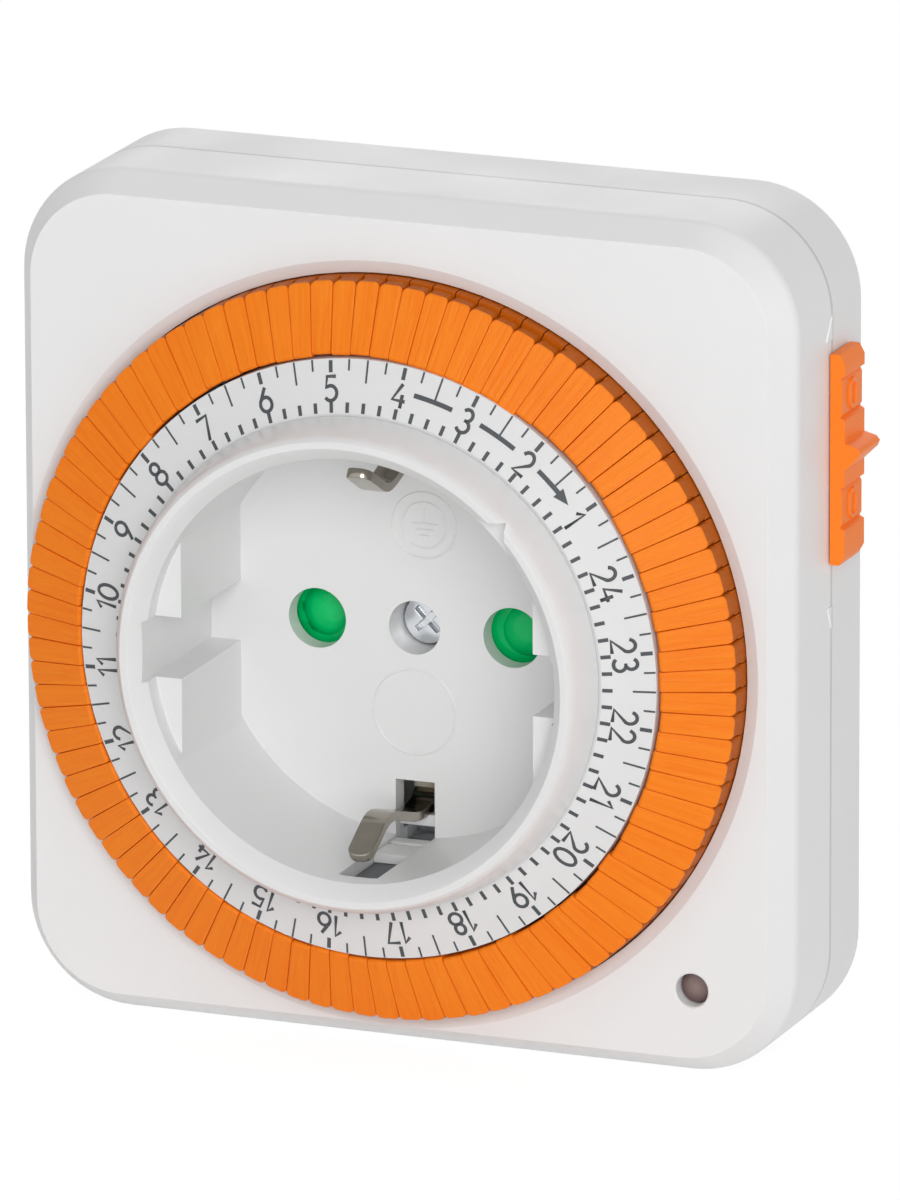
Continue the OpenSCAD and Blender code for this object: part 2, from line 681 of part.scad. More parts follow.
// All segments but the four that carry their own slide joint
module switching_segments() {
    color("darkorange") upright()
        for (i = [0 : seg_n - 1]) if (i < first_quarter || i > first_quarter + 3) segment(i);
}
module segment_q1() color("orange") upright() segment(first_quarter);
module segment_q2() color("orange") upright() segment(first_quarter + 1);
module segment_q3() color("orange") upright() segment(first_quarter + 2);
module segment_q4() color("orange") upright() segment(first_quarter + 3);

// Idler: a large wheel driven by the motor and a pinion that drives the dial
module idler_gear() {
    color("ivory") upright() translate([idler_x, idler_y, 0]) difference() {
        union() {
            at_z(z_wheel) rotate([0, 0, motor_dir]) gear(idler_big, motor_mod, wheel_t);
            at_z(z_wheel + wheel_t - 0.1)
                rotate([0, 0, idler_dir + 180 + 180 / idler_small]) gear(idler_small, dial_mod, gear_t + 0.3);
        }
        at_z(z_wheel - 1) cylinder(r = axle_r + run_gap, h = 6);
    }
}
module idler_axle() {
    color("silver") upright() translate([idler_x, idler_y, z_plate])
        cylinder(r = axle_r, h = z_gear + gear_t + 0.1 - z_plate);
}

// Synchronous motor and its output pinion
module motor_can() {
    color("slategray") upright() translate([motor_x, motor_y, 0]) difference() {
        union() {
            at_z(z_inside) cylinder(r = motor_r, h = z_plate - z_inside - 0.6);
            at_z(z_plate - 1) cylinder(r = motor_r - 1.4, h = 1);
        }
        at_z(z_plate - 3) cylinder(r = shaft_r + run_gap, h = 4);
    }
}
module motor_pinion() {
    color("goldenrod") upright() translate([motor_x, motor_y, 0]) {
        at_z(z_plate - 2.7) cylinder(r = shaft_r, h = z_wheel + wheel_t + 0.6 - z_plate + 2.7);
        at_z(z_wheel - 0.1) rotate([0, 0, motor_dir + 180 + 180 / motor_teeth])
            gear(motor_teeth, motor_mod, wheel_t + 0.3);
    }
}

// Chassis plate that carries the gear train and the lever
module chassis_plate() {
    color("lightgray") upright() difference() {
        union() {
            at_z(z_plate) cylinder(r = idler_dist - 3.5, h = plate_t);
            translate([motor_x, motor_y, z_plate]) cylinder(r = motor_r - 0.2, h = plate_t);
            translate([idler_x, idler_y, z_plate]) cylinder(r = 4, h = plate_t);
            translate([18, plunger_y - 6, z_plate])
                cube([switch_x1 - 18 + 0.8, lever_y + 4 - plunger_y + 6, plate_t]);
            for (x = [lever_x - lug_gap - lug_t, lever_x + lever_w + lug_gap])
                translate([x, lever_y - 1.7, z_plate]) cube([lug_t, 3.4, lever_z + 1.5 - z_plate]);
        }
        at_z(z_plate - 1) cylinder(r = 15.5, h = plate_t + 2);
        for (s = [-1, 1]) translate([-3, s > 0 ? 12 : -18.4, z_plate - 1]) cube([6, 6.4, plate_t + 2]);
        translate([lever_x - 0.5, plunger_y - 3.6, z_plate - 1])
            cube([lever_w + 1, lever_y + 2.2 - plunger_y + 3.6, plate_t + 2]);
        translate([motor_x, motor_y, z_plate - 1]) cylinder(r = shaft_r + 0.6, h = plate_t + 2);
        translate([idler_x, idler_y, z_plate - 1]) cylinder(r = axle_r, h = plate_t + 2);
        translate([lever_x - 5, lever_y, lever_z]) rotate([0, 90, 0]) cylinder(r = lever_pin_r, h = lever_w + 10);
    }
}

// Follower lever under the dial flange, which works the switch
module switch_lever() {
    color("black") upright() difference() {
        union() {
            translate([lever_x, lever_y - lever_reach, lever_z - 0.6]) cube([lever_w, lever_reach, 1.2]);
            translate([lever_x, lever_y, lever_z]) rotate([0, 90, 0]) cylinder(r = lever_hub_r, h = lever_w);
            translate([leg_r0 - 0.6, lever_y - 13, lever_z + 0.5]) rotate([0, 90, 0])
                cylinder(r = 1.0, h = leg_r1 - leg_r0 + 0.8);
        }
        translate([lever_x - 1, lever_y, lever_z]) rotate([0, 90, 0])
            cylinder(r = lever_pin_r + run_gap, h = lever_w + 2);
    }
}
module lever_pin() {
    color("silver") upright() translate([lever_x - lug_gap - lug_t, lever_y, lever_z])
        rotate([0, 90, 0]) cylinder(r = lever_pin_r, h = lever_w + 2 * lug_gap + 2 * lug_t);
}
module lever_spring() {
    color("silver") upright() translate([lever_x + lever_w / 2, 1, z_inside + switch_h + 0.2])
        coil(1.1, 0.3, 4, lever_z - 1.0 - z_inside - switch_h);
}

// Snap-action switch under the lever
plunger_rest = lever_z - 0.6 - gap;
plunger_bottom = z_inside + 3.1;
module switch_body() {
    color("black") upright() difference() {
        translate([switch_x0, switch_y0, z_inside])
            cube([switch_x1 - switch_x0, switch_y1 - switch_y0, switch_h]);
        translate([lever_x + lever_w / 2, plunger_y, z_inside + 0.7])
            cylinder(r = plunger_r + run_gap, h = switch_h);
    }
}
module switch_plunger() {
    color("red") upright() translate([lever_x + lever_w / 2, plunger_y, plunger_bottom])
        cylinder(r = plunger_r, h = plunger_rest - plunger_bottom);
}

// Override slide on the right side of the case: plate, fin, raised ovals in two shallow pockets
module slide_plate() {
    x0 = side_x + 0.15;
    x1 = x0 + slide_t;
    end = slide_len / 2;
    translate([0, slide_y, slide_z]) {
        difference() {
            at_z(-slide_w / 2) linear_extrude(slide_w) polygon([
                [x0, -end], [x1 - 0.5, -end], [x1, -end + 0.9], [x1, -0.9], [x1 + grip_proud - 0.2, 0.4],
                [x1 + grip_proud, 0.9], [x1 + grip_proud - 0.35, 1.3], [x1, 1.6], [x1, end - 0.9],
                [x1 - 0.5, end], [x0, end]
            ]);
            for (y = pockets) translate([x1, y, -slide_w]) linear_extrude(2 * slide_w) polygon([
                [1, -pocket_half], [0, -pocket_half], [-0.45, -pocket_half + 0.25],
                [-pocket_t, -pocket_half + 0.6], [-pocket_t, pocket_half - 0.6],
                [-0.45, pocket_half - 0.25], [0, pocket_half], [1, pocket_half]
            ]);
        }
        for (y = pockets) translate([x1 - pocket_t - 0.05, y, 0]) rotate([0, 90, 0]) difference() {
            oval(1.0, pocket_t);
            at_z(-1) oval(0.55, 2);
        }
    }
}

// A slab with two straight and two round sides
module oval(r, h) {
    reach = 0.45;
    for (s = [-1, 1]) translate([0, s * reach, 0]) cylinder(r = r, h = h, $fn = 32);
    translate([-r, -reach, 0]) cube([2 * r, 2 * reach, h]);
}

// The slide with its stem through the case wall, its inner plate and its arm
module override_slide() {
    inner_h = slide_z + slide_stem_w / 2 - z_inside - seat;
    arm_end = switch_y1 + gap + slide_travel;
    color("darkorange") upright() {
        slide_plate();
        translate([side_x - wall - 0.5, slide_y - slide_stem_len / 2, slide_z - slide_stem_w / 2])
            cube([wall + 0.7, slide_stem_len, slide_stem_w]);
        translate([side_x - wall - 1.5, slide_y - 7, z_inside + seat]) cube([1.3, 14, inner_h]);
        // arm that works the switch
        translate([switch_x1 - 3, slide_y - 7, z_inside + seat]) cube([side_x - wall - switch_x1 + 2, 1.6, 2.4]);
        translate([switch_x1 - 3, arm_end, z_inside + seat]) cube([1.6, slide_y - 6 - arm_end, 2.4]);
    }
}

// Leaf that rests on the back of the slide and gives it its two clicks
module slide_spring() {
    leaf_t = 0.3;
    leaf_len = 10.4;
    leaf_h = 3;
    nose_r = 0.25;
    leaf_x = side_x - wall - 1.5 - run_gap - nose_r - leaf_t;
    color("silver") upright() translate([leaf_x, slide_y - 2.2, z_inside]) {
        cube([leaf_t, leaf_len, leaf_h]);
        translate([-4, leaf_len - leaf_t, 0]) cube([4.1, leaf_t, leaf_h]);
        translate([leaf_t, 3.6, 0.4]) cylinder(r = nose_r, h = 2, $fn = 24);
    }
}

// Indicator: tinted lens, neon lamp, its holder and the series resistor
module indicator_lens() {
    color("rosybrown") upright() translate([lens_x, -lens_y, 0]) {
        at_z(z_face - wall - 0.5) cylinder(r = lens_d / 2, h = wall + 0.5 - lens_sink);
        at_z(z_face - wall - 1.3) cylinder(r = lens_d / 2 + 0.7, h = 0.9);
    }
}
module neon_lamp() {
    color("mistyrose") upright() translate([lens_x, -lens_y, z_inside + 3])
        cylinder(r = lamp_r, h = z_face - wall - 1.6 - z_inside - 3);
}
module lamp_holder() {
    color("white") upright() translate([lens_x, -lens_y, 0]) difference() {
        translate([-holder_half, -holder_half, z_inside]) cube([2 * holder_half, 2 * holder_half, holder_h]);
        at_z(z_inside + 3) cylinder(r = lamp_r + 0.05, h = holder_h);
    }
}
module resistor() {
    color("tan") upright() translate([lens_x - holder_half, -lens_y, z_inside + 1.3]) rotate([0, -90, 0]) {
        cylinder(r = 0.35, h = 12);
        at_z(2.5) cylinder(r = 1.2, h = 6.5);
    }
}

// Four self-tapping screws that hold the two shells together from behind
module case_screws() {
    color("silver") upright() for (p = post_at) translate([p[0], p[1], 0]) difference() {
        union() {
            at_z(z_back + screw_sink - screw_head_h) cylinder(r = screw_head_r, h = screw_head_h);
            at_z(z_back + screw_sink - 0.1) cylinder(r = screw_r, h = z_seam - z_back + 4);
        }
        at_z(z_back + screw_sink - screw_head_h - 0.1) for (a = [0, 90]) rotate([0, 0, a])
            translate([-1.5, -0.3, 0]) cube([3, 0.6, 1]);
    }
}

front_housing();
rear_housing();
socket_insert();
shutter();
shutter_spring();
centre_screw();
earth_clip_top();
earth_clip_bottom();
earth_bridge();
plug_earth_top();
plug_earth_bottom();
plug_pin_line();
plug_pin_neutral();
pin_bridge();
contact_neutral();
contact_load();
busbar_line();
dial_ring();
switching_segments();
segment_q1();
segment_q2();
segment_q3();
segment_q4();
idler_gear();
idler_axle();
motor_can();
motor_pinion();
chassis_plate();
switch_body();
switch_plunger();
switch_lever();
lever_pin();
lever_spring();
override_slide();
slide_spring();
indicator_lens();
neon_lamp();
lamp_holder();
resistor();
case_screws();
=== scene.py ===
"""Plug-in timer switch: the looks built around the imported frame.

Lengths are in millimetres and angles in degrees, unless a comment says otherwise.
Places are given as right, up and forward of the plug face, and spot() turns them
into Blender's metres, where the front looks along -Y and up is +Z.
"""
import math
import random

import bpy
from mathutils import Matrix, Vector


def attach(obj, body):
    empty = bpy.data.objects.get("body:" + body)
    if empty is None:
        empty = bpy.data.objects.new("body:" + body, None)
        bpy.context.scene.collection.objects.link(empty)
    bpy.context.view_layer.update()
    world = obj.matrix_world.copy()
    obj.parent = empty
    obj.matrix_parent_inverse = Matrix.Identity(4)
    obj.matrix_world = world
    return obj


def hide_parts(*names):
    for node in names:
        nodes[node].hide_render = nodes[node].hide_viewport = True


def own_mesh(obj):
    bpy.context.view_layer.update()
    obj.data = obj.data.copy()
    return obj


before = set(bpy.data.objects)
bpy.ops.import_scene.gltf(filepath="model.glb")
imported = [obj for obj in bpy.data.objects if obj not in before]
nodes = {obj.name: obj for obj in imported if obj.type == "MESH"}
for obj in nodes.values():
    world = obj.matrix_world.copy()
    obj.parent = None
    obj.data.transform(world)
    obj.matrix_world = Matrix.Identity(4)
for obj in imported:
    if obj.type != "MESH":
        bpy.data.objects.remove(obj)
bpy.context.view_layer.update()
dice = random.Random(24)

MM = 0.001

# Sizes repeated from the part's source
Z_FACE = 36.3  # front face of the case
SLOPE_H = 2.85  # depth of the slope around that face
Z_SEAM = 25.0  # where the two shells meet
CASE_BOTTOM = -37.5
CUP_R = 19.7  # recess of the socket
Z_FLOOR = 29.6  # floor of that recess
PIN_PITCH = 19.0
SHUTTER_TOP = 27.3
LENS = (29.4, -29.2)  # middle of the indicator lens, right and up
HUB_R = 23.1  # inner edge of the dial's cone
SKIRT_R = 27.85  # outer edge of the dial's cone
Z_DIAL = 42.3  # dial at its inner edge
SEGMENTS = 96
FIRST_QUARTER = 28  # first of the four segments that are pushed singly
DIAL_TURN = 97.0  # where the hour 5 stands, counted from the right
SEG_R0 = 28.0  # inner end of the segments
Z_SEG_IN = 41.0  # front of that end, and of the dial's outer edge
Z_SEG = 35.2  # back of the segments' heads
Z_FLANGE = 31.6  # back end of the segments' legs

# Sizes that only the looks have
CASE_ROUND = 0.5  # radius along the case's front outline
DOME_R = 3.1  # domes of the shutter behind the pin holes
DOME_H = 1.9
WING_R = 6.2  # outside this radius the shutter's wings lie lower
WING_DROP = 0.9
LENS_R = 1.45
LENS_SINK = 1.2  # how deep the lens lies in its hole
HEAD_R = 34.4  # outer end of the segments' heads
Z_HEAD = 38.4  # front of that end
FOOT_R = 34.4  # feet of the segments, from outer to inner end
FOOT_BACK = 32.4
Z_FOOT = 36.75
HALF_STEP = 360 / SEGMENTS / 2  # half the angle of one segment
INK = 0.03  # thickness of the printed scale
PRINT_PROUD = 0.006  # how far the middle of the print stands in front of the dial
ARROW_R = 25.6  # printed direction arrow: its place on the dial, shaft and point
SHAFT_W = 0.42
POINT_R = 0.66
POINT_STRETCH = 1.45
NUMERAL_R = 25.25  # radius of the middle of the numerals
DIGIT_W = 1.22
DIGIT_H = 2.1
DIGIT_GAP = 0.52
STROKE = 0.32
ON_LEVEL = 0.01  # a corner this near to a level lies on it


# ---------------------------------------------------------------- small tools

def spot(x, y, z):
    """A point given as right, up and forward of the plug face."""
    return Vector((x * MM, -z * MM, y * MM))


def nothing():
    """Deselects everything."""
    bpy.ops.object.select_all(action="DESELECT")


def only(*pieces):
    """Selects these objects and nothing else."""
    if bpy.context.mode != "OBJECT":
        bpy.ops.object.mode_set(mode="OBJECT")
    nothing()
    for piece in pieces:
        piece.select_set(True)
    bpy.context.view_layer.objects.active = pieces[0]


def pick(piece, part, test):
    """Leaves the piece in edit mode with the edges or faces that pass the test selected."""
    only(piece)
    mesh = piece.data
    for kind in (mesh.vertices, mesh.edges, mesh.polygons):
        kind.foreach_set("select", [False] * len(kind))
    if part == "EDGE":
        for edge in mesh.edges:
            a, b = (mesh.vertices[i] for i in edge.vertices)
            edge.select = test(a.co, b.co)
            if edge.select:
                a.select = b.select = True
    else:
        for face in mesh.polygons:
            face.select = test(face.center, face.normal)
    bpy.ops.object.mode_set(mode="EDIT")
    bpy.ops.mesh.select_mode(type=part)


def pick_all(piece, part="VERT"):
    """Leaves the piece in edit mode with all of it selected."""
    only(piece)
    bpy.ops.object.mode_set(mode="EDIT")
    bpy.ops.mesh.select_mode(type=part)
    bpy.ops.mesh.select_all(action="SELECT")


def leave_edit():
    bpy.ops.object.mode_set(mode="OBJECT")


def named(piece, name):
    piece.name = piece.data.name = name
    return piece


def done(piece, name):
    """Puts the place, turn and size into the mesh and names the piece."""
    only(piece)
    bpy.ops.object.transform_apply(location=True, rotation=True, scale=True)
    return named(piece, name)


def block(place, wide, high, deep, name):
    """A block around a point, ready to be shaped."""
    nothing()
    bpy.ops.mesh.primitive_cube_add(size=1, location=place)
    piece = bpy.context.object
    piece.scale = (wide * MM, deep * MM, high * MM)
    return done(piece, name)


def disc(place, radius, deep, sides, name):
    """A disc around a point that faces forward."""
    nothing()
    bpy.ops.mesh.primitive_cylinder_add(vertices=sides, radius=radius * MM, depth=deep * MM,
                                        location=place, rotation=(math.radians(90), 0, 0))
    return done(bpy.context.object, name)


def bevel_picked(width, steps, clamp=False):
    """Bevels the picked edges and leaves edit mode."""
    bpy.ops.mesh.bevel(offset=width * MM, segments=steps, affect="EDGES", clamp_overlap=clamp)
    leave_edit()


def round_edges(piece, width, steps=2, angle=35):
    """A small moulding or tumbling radius on every edge sharper than the angle."""
    only(piece)
    bevel = piece.modifiers.new("round", "BEVEL")
    bevel.width = width * MM
    bevel.segments = steps
    bevel.limit_method = "ANGLE"
    bevel.angle_limit = math.radians(angle)
    bevel.use_clamp_overlap = True
    bevel.miter_outer = "MITER_ARC"
    bpy.ops.object.modifier_apply(modifier="round")


def smooth(piece, angle=35):
    """Smooth shading on the radii, with the large flat faces kept flat."""
    only(piece)
    bpy.ops.object.shade_smooth_by_angle(angle=math.radians(angle))
    even = piece.modifiers.new("even", "WEIGHTED_NORMAL")
    even.keep_sharp = True
    bpy.ops.object.modifier_apply(modifier="even")


def turn_on_dial(piece, angle):
    """Turns a piece made along +X to its place around the dial."""
    piece.data.transform(Matrix.Rotation(-math.radians(angle), 4, "Y"))


def wear(piece, finish):
    piece.data.materials.clear()
    piece.data.materials.append(finish)


def mount(piece, body, slot, finish, *stands_for):
    """The piece moves with its body, wears its finish, and hides the nodes it stands for."""
    wear(piece, finish)
    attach(piece, body)
    if stands_for:
        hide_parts(*stands_for)


def twin(piece):
    """A copy of a piece with its own mesh."""
    other = piece.copy()
    other.data = piece.data.copy()
    bpy.context.scene.collection.objects.link(other)
    return other


def copy_of(node, name):
    """A merged copy of a node's mesh, with its flat faces joined, ready to be rounded."""
    piece = twin(nodes[node])
    for key in list(piece.keys()):
        del piece[key]
    piece.parent = None
    piece.matrix_world = Matrix.Identity(4)
    only(piece)
    if piece.data.has_custom_normals:
        bpy.ops.mesh.customdata_custom_splitnormals_clear()
    # picked as edges: picked as points, the earth clips lose some of their corners
    pick_all(piece, "EDGE")
    bpy.ops.mesh.remove_doubles(threshold=0.002 * MM)
    bpy.ops.mesh.dissolve_limited(angle_limit=math.radians(0.6))
    leave_edit()
    return named(piece, name)


def fused(pieces, name):
    """Joins pieces that are one moulding or one print into one object."""
    only(*pieces)
    bpy.ops.object.join()
    return named(bpy.context.view_layer.objects.active, name)


# ------------------------------------------------------------------- finishes

# A noise texture stays mostly between these values
NOISE_LOW, NOISE_HIGH = 0.3, 0.7


def linear(code):
    """An sRGB hex colour as linear red, green, blue and one."""
    out = []
    for i in (0, 2, 4):
        c = int(code.lstrip("#")[i:i + 2], 16) / 255
        out.append(c / 12.92 if c <= 0.04045 else ((c + 0.055) / 1.055) ** 2.4)
    return (*out, 1.0)


def add(tree, kind, values=None, links=None, **settings):
    """Adds a node with its settings, its socket values and its incoming links."""
    n = tree.nodes.new(kind)
    for key, value in settings.items():
        setattr(n, key, value)
    for key, value in (values or {}).items():
        n.inputs[key].default_value = value
    for key, source in (links or {}).items():
        tree.links.new(source, n.inputs[key])
    return n


def blank(name):
    """A new material with only its shader and its output, its node tree and its shader."""
    finish = bpy.data.materials.new(name)
    finish.use_nodes = True
    tree = finish.node_tree
    tree.nodes.clear()
    shader = add(tree, "ShaderNodeBsdfPrincipled")
    output = add(tree, "ShaderNodeOutputMaterial", links={"Surface": shader.outputs["BSDF"]})
    output.location = (600, 0)
    shader.location = (300, 0)
    return finish, tree, shader


def seam_line(tree, place, colour):
    """The colour with a thin line of painted shade where the two shells meet."""
    axes = add(tree, "ShaderNodeSeparateXYZ", links={"Vector": place})
    off = add(tree, "ShaderNodeMath", {1: Z_SEAM * MM}, {0: axes.outputs["Y"]}, operation="ADD")
    near = add(tree, "ShaderNodeMath", links={0: off.outputs["Value"]}, operation="ABSOLUTE")
    # full within 0.16 mm of the seam, and gone at 0.28 mm
    line = add(tree, "ShaderNodeMapRange",
               {"From Min": 0.16 * MM, "From Max": 0.28 * MM, "To Min": 1.0, "To Max": 0.0},
               {"Value": near.outputs["Value"]})
    # painted shade: a darker grey along the seam stands in for the shadow in the joint
    shaded = add(tree, "ShaderNodeMix", {7: linear("#CACACA")},
                 {0: line.outputs["Result"], 6: colour}, data_type="RGBA")
    return shaded.outputs[2]


def moulded(name, low, high, rough, grain_mm, depth_mm, ior=1.53, cloud_mm=14.0,
            rough_spread=0.08, shine=0.5, seam=False):
    """Injection-moulded plastic: a faint cloud of colour, a spark-eroded grain and uneven gloss."""
    finish, tree, shader = blank(name)
    place = add(tree, "ShaderNodeTexCoord").outputs["Object"]
    cloud = add(tree, "ShaderNodeTexNoise",
                {"Scale": 1000 / cloud_mm, "Detail": 3.0, "Roughness": 0.5}, {"Vector": place})
    grain = add(tree, "ShaderNodeTexNoise",
                {"Scale": 1000 / grain_mm, "Detail": 2.0, "Roughness": 0.6}, {"Vector": place})
    tint = add(tree, "ShaderNodeMix", {6: linear(low), 7: linear(high)},
               {0: cloud.outputs["Fac"]}, data_type="RGBA")
    # with seam set, painted shade darkens the colour along the join of the two shells
    colour = seam_line(tree, place, tint.outputs[2]) if seam else tint.outputs[2]
    tree.links.new(colour, shader.inputs["Base Color"])
    gloss = add(tree, "ShaderNodeMapRange",
                {"From Min": NOISE_LOW, "From Max": NOISE_HIGH,
                 "To Min": rough - rough_spread, "To Max": rough + rough_spread},
                {"Value": cloud.outputs["Fac"]})
    tree.links.new(gloss.outputs["Result"], shader.inputs["Roughness"])
    bump = add(tree, "ShaderNodeBump", {"Strength": 0.5, "Distance": depth_mm * MM},
               {"Height": grain.outputs["Fac"]})
    tree.links.new(bump.outputs["Normal"], shader.inputs["Normal"])
    shader.inputs["IOR"].default_value = ior
    shader.inputs["Specular IOR Level"].default_value = shine
    return finish


def metallic(name, low, high, rough, streak, grain_mm, depth_mm, spread=0.07, patch_mm=3.0):
    """Bare or plated metal: drawing or rolling marks along one axis, and slightly uneven polish."""
    finish, tree, shader = blank(name)
    place = add(tree, "ShaderNodeTexCoord").outputs["Object"]
    stretch = add(tree, "ShaderNodeMapping", {"Scale": streak}, {"Vector": place})
    marks = add(tree, "ShaderNodeTexNoise",
                {"Scale": 1000 / grain_mm, "Detail": 4.0, "Roughness": 0.6},
                {"Vector": stretch.outputs["Vector"]})
    patch = add(tree, "ShaderNodeTexNoise", {"Scale": 1000 / patch_mm, "Detail": 3.0},
                {"Vector": place})
    tint = add(tree, "ShaderNodeMix", {6: linear(low), 7: linear(high)},
               {0: patch.outputs["Fac"]}, data_type="RGBA")
    tree.links.new(tint.outputs[2], shader.inputs["Base Color"])
    gloss = add(tree, "ShaderNodeMapRange",
                {"From Min": NOISE_LOW, "From Max": NOISE_HIGH,
                 "To Min": rough - spread, "To Max": rough + spread},
                {"Value": marks.outputs["Fac"]})
    tree.links.new(gloss.outputs["Result"], shader.inputs["Roughness"])
    bump = add(tree, "ShaderNodeBump", {"Strength": 0.35, "Distance": depth_mm * MM},
               {"Height": marks.outputs["Fac"]})
    tree.links.new(bump.outputs["Normal"], shader.inputs["Normal"])
    shader.inputs["Metallic"].default_value = 1.0
    return finish


# ABS with a fine spark-eroded grain: soft satin, almost white, barely grey
case_abs = moulded("white_abs_satin_moulded", "#EAEAEA", "#EFEFEF", 0.42, 0.45, 0.012, seam=True)
# The rear shell is moulded from the same ABS and reads a touch greyer
shell_abs = moulded("white_abs_rear_shell_moulded", "#E7E7E7", "#ECECEC", 0.45, 0.45, 0.014,
                    seam=True)
# Urea moulding of a socket: harder and glossier than the case, with a very smooth skin
socket_urea = moulded("white_urea_gloss_moulded", "#E4E4E4", "#E9E9E9", 0.34, 1.2, 0.004,
                      ior=1.57, rough_spread=0.05)
# Dial ring: matt ABS that takes the print well
dial_abs = moulded("white_abs_matt_dial", "#DDDDDD", "#E2E2E2", 0.5, 0.5, 0.006)
# Pad-printed scale ink: dull dark grey, a little uneven in its gloss
scale_ink = moulded("dark_pad_print_ink", "#3A3E42", "#4A4E52", 0.55, 0.3, 0.002)
# Acetal gears: waxy ivory, low gloss
acetal = moulded("ivory_acetal_gear", "#E9E2CC", "#F1EBD8", 0.38, 0.6, 0.004, ior=1.48)
# Glass-fibre filled nylon: black with a mottled dull skin
black_nylon = moulded("black_glass_filled_nylon", "#141416", "#222226", 0.5, 0.3, 0.012)
# The same nylon in grey, for the parts between the pins, and for the dark sheets behind the earth
# clips that are painted shadow
grey_nylon = moulded("grey_glass_filled_nylon", "#54575C", "#66696E", 0.5, 0.3, 0.012)
# Red ABS of the switch plunger: satin, with a fine grain
red_abs = moulded("red_abs_plunger", "#8E1712", "#A3201A", 0.38, 0.4, 0.004)
# Shutter: green polypropylene from a polished mould, glossy and domed
shutter_green = moulded("green_polypropylene_gloss", "#00C066", "#00CC72", 0.12, 1.5, 0.006,
                        ior=1.49, rough_spread=0.04, shine=0.24)
# Lacquered ceramic body of the resistor: tan, with a soft eggshell gloss
lacquer = moulded("tan_resistor_lacquer", "#B99A68", "#C9AC7C", 0.4, 0.5, 0.01)

# Nickel-plated bronze of the earth clips: warm silver, drawn along the strip
nickel = metallic("nickel_plated_bronze_strip", "#8F897D", "#B2ACA1", 0.19,
                  (6.0, 1.0, 1.0), 0.5, 0.003)
# Turned and nickel-plated brass pins: rings from the lathe around the axis
pin_nickel = metallic("nickel_plated_brass_turned", "#C6C2B8", "#D8D5CE", 0.19,
                      (1.0, 8.0, 1.0), 0.8, 0.002)
# Zinc-plated steel: bright, bluish, a little mottled
zinc = metallic("zinc_plated_steel", "#C8CBCE", "#E2E5E8", 0.19, (1.0, 1.0, 1.0), 0.4, 0.004)
# Hard-drawn spring wire: grey steel with a dull sheen
spring_wire = metallic("drawn_spring_steel", "#9A9DA2", "#B4B7BC", 0.36,
                       (1.0, 1.0, 1.0), 0.25, 0.003)
# Stamped brass busbars and contacts: yellow, with rolling marks
stamped_brass = metallic("stamped_brass", "#BD9A4E", "#CFB068", 0.36,
                         (1.0, 4.0, 1.0), 0.6, 0.003)
# Deep-drawn motor can: tinned steel with marks around its wall
motor_tin = metallic("deep_drawn_tinned_steel", "#A4A7AA", "#BCBFC2", 0.36,
                     (1.0, 5.0, 1.0), 0.8, 0.004)


